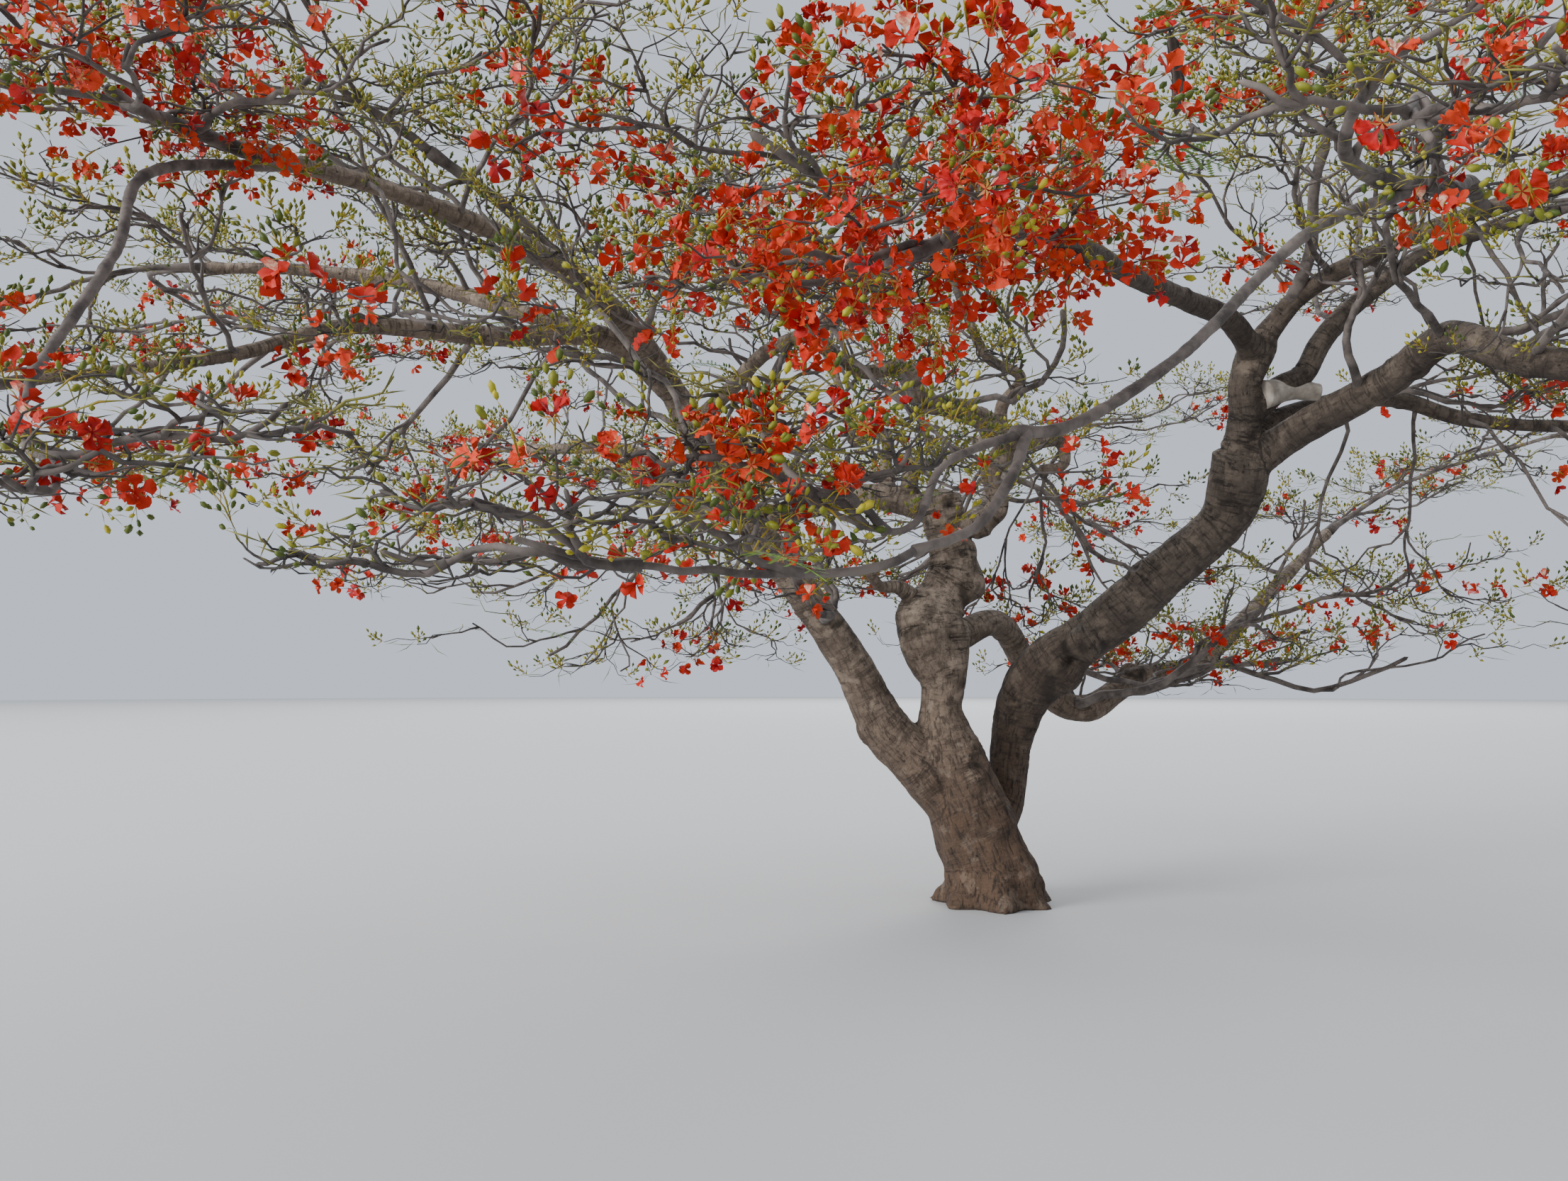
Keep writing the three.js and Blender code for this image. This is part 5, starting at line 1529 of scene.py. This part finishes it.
class FLAMETREE_OT_flowers(bpy.types.Operator):
    """Makes the flowers"""

    bl_idname = "flametree.flowers"
    bl_label = "Flowers"

    def execute(self, context):
        scarlet, orange, crimson = (tuple(getattr(colours(), c)) for c in ("scarlet", "orange", "crimson"))
        finishes = [
            petal_finish("scarlet_petal", scarlet, tuple(0.6 * s + 0.4 * o for s, o in zip(scarlet, orange))),
            petal_finish("orange_petal", tuple(0.5 * s + 0.5 * o for s, o in zip(scarlet, orange)), orange),
            petal_finish("crimson_petal", crimson, scarlet),
            standard_finish(),
            plant_finish("sepal", (0.5, 0.09, 0.03), (0.28, 0.2, 0.04)),
        ]
        for quarter, name in enumerate(QUARTERS):
            parts = [self.flowers(quarter, grid) for grid in (CLOSE_PETAL, FINE_PETAL, PLAIN_PETAL)]
            vertices, faces = joined([part[:2] for part in parts])
            dealt, out = (np.concatenate([part[k] for part in parts]) for k in (2, 3))
            piece = mesh_piece(f"flowers_{name}", vertices, faces, finishes, dealt, {"out": out})
            fit_in(piece, nodes_of(quarter))
        return {"FINISHED"}

    def flowers(self, quarter, grid):
        """The flowers of one quarter that have this grid, near ones with sepals: their vertices, faces, each
        face's finish and each vertex's place along its petal. The first petal of some is the streaked one."""
        flower = heads()["flower"]
        close = np.linalg.norm(flower.base - np.array(EYE), axis=1) < CLOSE_TO_EYE
        near = grid is not PLAIN_PETAL
        keep = (flower.quarter == quarter) & (flower.near == near)
        if near:
            keep &= close == (grid is CLOSE_PETAL)
        base, way, seed = flower.base[keep], flower.way[keep], flower.seed[keep]
        facing = unit(way + 0.75 * UP)
        size = sizes().petal * (0.8 + 0.4 * chance(seed, DRAW.petal)) * (1.0 if near else FAR_FLOWER)
        spin = chance(seed, DRAW.spin) - 0.5
        ruffles = 50 + 3 * quarter + len(grid.rows)
        vertices, faces, out, number = petals(base, facing, spin, size, ruffles, grid)
        tint = 0.6 * chance(flower.head[keep], DRAW.head_tint) + 0.4 * chance(seed, DRAW.tint)
        each = len(faces) // max(len(base), 1)
        dealt = np.repeat(np.select([tint < ORANGE_BELOW, tint < CRIMSON_BELOW], [1, 2], 0), each)
        dealt[(number == 0) & (np.repeat(chance(seed, DRAW.streak), each) < STREAKED_SHARE)] = 3
        if near:
            cups = sepals(base, facing, spin, size)
            vertices, faces = joined([(vertices, faces), cups])
            dealt = np.concatenate([dealt, np.full(len(cups[1]), 4)])
            out = np.concatenate([out, np.zeros(len(cups[0]))])
        return vertices, faces, dealt, out


# Sprays of buds: how many buds, the share of twigs that bear them, less where a mass is more sparse than
# THIN_MASS, between which heights, and how much their axes rise
SPRAY_BUDS = 8
BEARING_SHARE = 0.9
FINE_BEARING_SHARE = 0.16
SPARSE_BEARING = 0.3
THIN_MASS = 0.4
BARE_BELOW = -0.4
HIGHEST_TIP = 5.84
HANGING_BUDS = -0.05
SPRAY_RISE = 0.5
NEAR_SPRAY_RISE = 0.15

# A bud whose tint is below or above these is yellow or dark
YELLOW_BELOW = 0.26
DARK_ABOVE = 0.62


@functools.lru_cache
def bud_sprays():
    """The twigs' ends that don't flower: a green axis with buds on stalks round it, like an umbrella's
    spokes. The lowest twigs are bare, and in the sparse masses near the viewer so are the higher ones. Near
    the viewer some of the finest twigs have buds too."""
    made = []
    for level, share in ((TWIG_LEVEL, BEARING_SHARE), (FINEST_LEVEL, FINE_BEARING_SHARE)):
        twigs = crown()[level]
        share = np.where(twigs.sparse > THIN_MASS, SPARSE_BEARING * share, share)
        high, near, label = twigs.part[:, 2], twigs.near, twigs.label
        bearing = ~twigs.flowering & (chance(label, DRAW.buds) < share) & (high > BARE_BELOW)
        bearing &= twigs.path[:, -1, 2] < HIGHEST_TIP
        bearing &= ~(near & (twigs.sparse > SPARSE_MASS)) | (high < HANGING_BUDS)
        if level == FINEST_LEVEL:
            bearing &= near
        tip, label, near, quarter = (v[bearing] for v in (twigs.path[:, -1], label, near, twigs.quarter))
        heading = unit(tip - twigs.path[bearing, -2])
        axis = unit(0.7 * heading + np.where(near, NEAR_SPRAY_RISE, SPRAY_RISE)[:, None] * UP)
        length = 0.08 + 0.07 * chance(label, DRAW.bud_axis)
        row, k, seed, way = fan(axis, SPRAY_BUDS, label, 0.3, 1.25)
        place = 0.2 + 0.8 * (k + 0.5) / SPRAY_BUDS
        root = tip[row] + axis[row] * (length[row] * place)[:, None]
        base = root + way * (0.04 * (0.6 + 0.8 * chance(seed, DRAW.stalk)))[:, None]
        made.append(SimpleNamespace(
            foot=tip, top=tip + axis * length[:, None], foot_quarter=quarter, root=root, base=base, way=way,
            near=near[row], quarter=quarter[row], head=label[row], seed=seed))
    keys = vars(made[0]).keys()
    return SimpleNamespace(**{key: np.concatenate([getattr(m, key) for m in made]) for key in keys})


def budded(quarter):
    """The buds, and the stalks that carry buds and flowers, of one quarter: (vertices, faces, shade) of the
    buds, and (vertices, faces) of the stalks. Buds near the viewer are rounder, and their stalks are bent."""
    buds, shades, stalks = [], [], []

    def add_stalks(start, end, thick):
        stalks.append(spindles(start, end, np.full(len(start), thick)))

    small = bud_sprays()
    for group, scale in ((heads()["bud"], 1.0), (small, SMALL_BUD)):
        for near in (True, False):
            keep = (group.quarter == quarter) & (group.near == near)
            root, base, seed = group.root[keep], group.base[keep], group.seed[keep]
            facing = unit(group.way[keep] + 0.5 * UP)
            larger = NEAR_BUD if near else FAR_BUD
            length = sizes().bud * scale * (0.65 + 0.5 * chance(seed, DRAW.bud)) * larger
            rings, sides = NEAR_BUD_RINGS if near else FAR_BUD_RINGS
            buds.append(ovals(base, facing, length, length * BUD_GIRTH, rings, sides))
            tint = 0.7 * chance(group.head[keep], DRAW.bud_head_tint) + 0.3 * chance(seed, DRAW.bud_tint)
            shades.append(np.repeat(tint, 2 * sides * len(rings)))
            if near:
                add_stalks(root, base, NEAR_STALK)
            else:
                stalks.append(darts(root, base, FAR_STALK))
    for kind, thick in (("flower", FLOWER_STALK), ("axis", HEAD_AXIS)):
        group = heads()[kind]
        keep = group.quarter == quarter
        add_stalks(group.root[keep], group.base[keep], thick)
    keep = small.foot_quarter == quarter
    add_stalks(small.foot[keep], small.top[keep], SPRAY_AXIS)
    return (*joined(buds), np.concatenate(shades)), joined(stalks)


class FLAMETREE_OT_buds(bpy.types.Operator):
    """Makes the buds and the green stalks"""

    bl_idname = "flametree.buds"
    bl_label = "Buds and stalks"

    def execute(self, context):
        finishes = [
            plant_finish("green_bud", (0.14, 0.155, 0.01), (0.21, 0.2, 0.016)),
            plant_finish("yellow_bud", (0.42, 0.35, 0.018), (0.27, 0.25, 0.016)),
            plant_finish("dark_bud", (0.05, 0.078, 0.01), (0.085, 0.105, 0.012)),
        ]
        stalk = plant_finish("flower_stalk", (0.25, 0.235, 0.016), (0.3, 0.19, 0.016))
        for quarter, name in enumerate(QUARTERS):
            (vertices, faces, shade), stalks = budded(quarter)
            dealt = np.select([shade < YELLOW_BELOW, shade > DARK_ABOVE], [1, 2], 0)
            fit_in(mesh_piece(f"buds_{name}", vertices, faces, finishes, dealt), nodes_of(quarter))
            fit_in(mesh_piece(f"stalks_{name}", *stalks, [stalk]), nodes_of(quarter))
        return {"FINISHED"}


# A leaf: how many side leaves on each side, how many teeth each has, and its rib's radius
PINNAE = 11
TEETH = 7
RIB_THICK = 0.0015


def leaves(base, heading, length, seed):
    """Ferny leaves: a thin rib, and on both sides of it narrow side leaves, each a row of small teeth that
    stand for its leaflets. The rib droops as a parabola, and the side leaves are longest near its middle."""
    rng = np.random.default_rng(seed)
    count = len(base)
    flat = unit(heading * np.array([1, 1, 0.3]))
    side = unit(np.cross(flat, UP))
    pair = np.linspace(0.14, 1, PINNAE)
    drop = 0.35 * pair**2
    rib = base[:, None] + flat[:, None] * (pair * length[:, None])[..., None]
    rib = rib - UP * (drop * length[:, None])[..., None]
    thick = np.full((count, PINNAE + 1), RIB_THICK)
    parts = [tubes(np.concatenate([base[:, None], rib], axis=1), thick, 3)]
    reach = length[:, None] * 0.3 * np.sin(math.pi * (0.18 + 0.78 * pair))
    reach = reach * rng.uniform(0.85, 1.1, (count, PINNAE))
    tooth = np.arange(TEETH + 1) / TEETH
    k = np.arange(TEETH) * 3
    blades = np.concatenate([np.stack([k, k + 3, k + 1], axis=1), np.stack([k, k + 2, k + 3], axis=1)])
    for hand in (-1, 1):
        fall = UP * rng.uniform(0.0, 0.4, (count, PINNAE, 1))
        way = unit(hand * side[:, None] + 0.55 * flat[:, None] - fall)
        along = rib[:, :, None] + way[:, :, None] * (reach[..., None] * tooth)[..., None]
        half = 0.14 * reach[..., None] * np.sqrt(np.maximum(np.sin(math.pi * (0.12 + 0.8 * tooth)), 0))
        wide = unit(np.cross(way, UP))[:, :, None] * half[..., None]
        lean = way[:, :, None] * (half * 0.4)[..., None]
        vertices = np.stack([along, along + wide + lean, along - wide + lean], axis=3)
        parts.append((vertices.reshape(-1, 3), copies(blades, (TEETH + 1) * 3, count * PINNAE)))
    return joined(parts)


# The share of twigs that bear a leaf, and places where two more twigs each do
LEAFY_SHARE = 0.012
LEAFY_PLACES = ((-0.15, -5.4, 3.4), (-0.6, -5.6, 3.55))


class FLAMETREE_OT_leaves(bpy.types.Operator):
    """Makes the few ferny leaves that are out"""

    bl_idname = "flametree.leaves"
    bl_label = "Leaves"

    def execute(self, context):
        finishes = [plant_finish("leaf", (0.1, 0.2, 0.025), (0.17, 0.27, 0.04))]
        twigs = crown()[TWIG_LEVEL]
        leafy = chance(twigs.label, DRAW.leafy) < LEAFY_SHARE
        for place in LEAFY_PLACES:
            leafy[np.argsort(np.linalg.norm(twigs.path[:, -1] - place, axis=1))[:2]] = True
        tip = twigs.path[leafy, -2]
        label = twigs.label[leafy]
        heading = unit(twigs.path[leafy, -1] - twigs.path[leafy, 0]) + 0.3
        length = sizes().leaf * (0.55 + 0.6 * chance(label, DRAW.leaf))
        vertices, faces = leaves(tip, unit(heading), length, 77)
        fit_in(mesh_piece("ferny_leaves", vertices, faces, finishes))
        return {"FINISHED"}


# The pod hangs from the shoot that is nearest to this place
POD_NEAR = (-0.17, -5.0, 3.5)


class FLAMETREE_OT_pod(bpy.types.Operator):
    """Makes the old seed pod that hangs in the crown"""

    bl_idname = "flametree.pod"
    bl_label = "Seed pod"

    def execute(self, context):
        places = np.concatenate([level.path.reshape(-1, 3) for level in crown()[1:TWIG_LEVEL]])
        top = places[np.argmin(np.linalg.norm(places - POD_NEAR, axis=1))]
        share = np.linspace(0, 1, 30)
        length = sizes().pod
        path = top + np.stack([0.03 * np.sin(2.4 * share), 0.02 * share, -length * share], axis=1)
        wide = 0.021 * np.minimum(1, 6 * share) * np.minimum(1, 9 * (1.001 - share)) + 0.002
        wide = wide * (1 + 0.06 * np.sin(TURN * 9 * share))
        angle = TURN * np.arange(12) / 12
        flat = np.sqrt(np.cos(angle) ** 2 + (0.32 * np.sin(angle)) ** 2)
        vertices, faces = tubes(path[None], (wide[:, None] * flat)[None], 12, RIGHT)
        finish = plant_finish("pod", (0.02, 0.014, 0.011), (0.045, 0.03, 0.022), 0.55)
        fit_in(mesh_piece("seed_pod", vertices, faces, [finish]))
        return {"FINISHED"}


class FLAMETREE_OT_stage(bpy.types.Operator):
    """Sets the floor, the soft light and the camera"""

    bl_idname = "flametree.stage"
    bl_label = "Stage"

    def execute(self, context):
        bpy.ops.mesh.primitive_circle_add(vertices=96, radius=120, fill_type="NGON", location=(0, 0, 0))
        floor = context.object
        floor.name = "floor"
        pale = Finish("floor")
        floor.data.materials.append(pale.done(Base_Color=(0.56, 0.555, 0.545, 1), Roughness=0.9))
        world = bpy.data.worlds.new("sky")
        world.use_nodes = True
        background = world.node_tree.nodes["Background"]
        background.inputs["Color"].default_value = (0.72, 0.79, 0.9, 1)
        background.inputs["Strength"].default_value = 0.95
        context.scene.world = world
        for name, place, aim, size, power in (
            ("key", (-90, -48, 33), (0, 0, 3), 48, 164000),
            ("fill", (-18, -96, 19.5), (0, 0, 2.5), 36, 20000),
            ("rim", (18, 84, 64), (0, 0, 4), 60, 80000),
        ):
            data = bpy.data.lights.new(name, "AREA")
            data.size = size
            data.energy = power
            light = bpy.data.objects.new(name, data)
            light.location = place
            way = np.array(aim, float) - place
            tilt, turn = math.atan2(math.hypot(way[0], way[1]), -way[2]), math.atan2(way[1], way[0])
            light.rotation_euler = (tilt, 0, turn - math.pi / 2)
            context.scene.collection.objects.link(light)
        data = bpy.data.cameras.new("camera")
        data.sensor_width = FILM_WIDTH_MM
        data.lens = FILM_WIDTH_MM * FOCAL_PIXELS / PHOTO_WIDTH
        data.clip_end = 400
        camera = bpy.data.objects.new("camera", data)
        camera.location = EYE
        camera.rotation_euler = (math.radians(90 + TILT_UP_DEGREES), 0, 0)
        context.scene.collection.objects.link(camera)
        context.scene.camera = camera
        return {"FINISHED"}


STEPS = (
    FLAMETREE_OT_stage, FLAMETREE_OT_bark, FLAMETREE_OT_limbs, FLAMETREE_OT_sawn_limb, FLAMETREE_OT_twigs,
    FLAMETREE_OT_flowers, FLAMETREE_OT_buds, FLAMETREE_OT_leaves, FLAMETREE_OT_pod,
)


class FLAMETREE_PT_panel(bpy.types.Panel):
    """Lists the steps in the 3D view's sidebar"""

    bl_idname = "FLAMETREE_PT_panel"
    bl_label = "Flame tree"
    bl_space_type = "VIEW_3D"
    bl_region_type = "UI"
    bl_category = "Flame tree"

    def draw(self, context):
        for group in (context.scene.flame_tree_sizes, context.scene.flame_tree_colours):
            for name in group.__annotations__:
                self.layout.prop(group, name)
        for step in STEPS:
            self.layout.operator(step.bl_idname)


CLASSES = (TreeSizes, TreeColours, *STEPS, FLAMETREE_PT_panel)


def register():
    for made in CLASSES:
        bpy.utils.register_class(made)
    bpy.types.Scene.flame_tree_sizes = bpy.props.PointerProperty(type=TreeSizes)
    bpy.types.Scene.flame_tree_colours = bpy.props.PointerProperty(type=TreeColours)


def unregister():
    del bpy.types.Scene.flame_tree_colours
    del bpy.types.Scene.flame_tree_sizes
    for made in reversed(CLASSES):
        bpy.utils.unregister_class(made)


def main():
    """Builds the whole tree."""
    register()
    bpy.ops.flametree.stage()
    bpy.ops.flametree.bark()
    bpy.ops.flametree.limbs()
    bpy.ops.flametree.sawn_limb()
    bpy.ops.flametree.twigs()
    bpy.ops.flametree.flowers()
    bpy.ops.flametree.buds()
    bpy.ops.flametree.leaves()
    bpy.ops.flametree.pod()


if __name__ == "__main__":
    main()
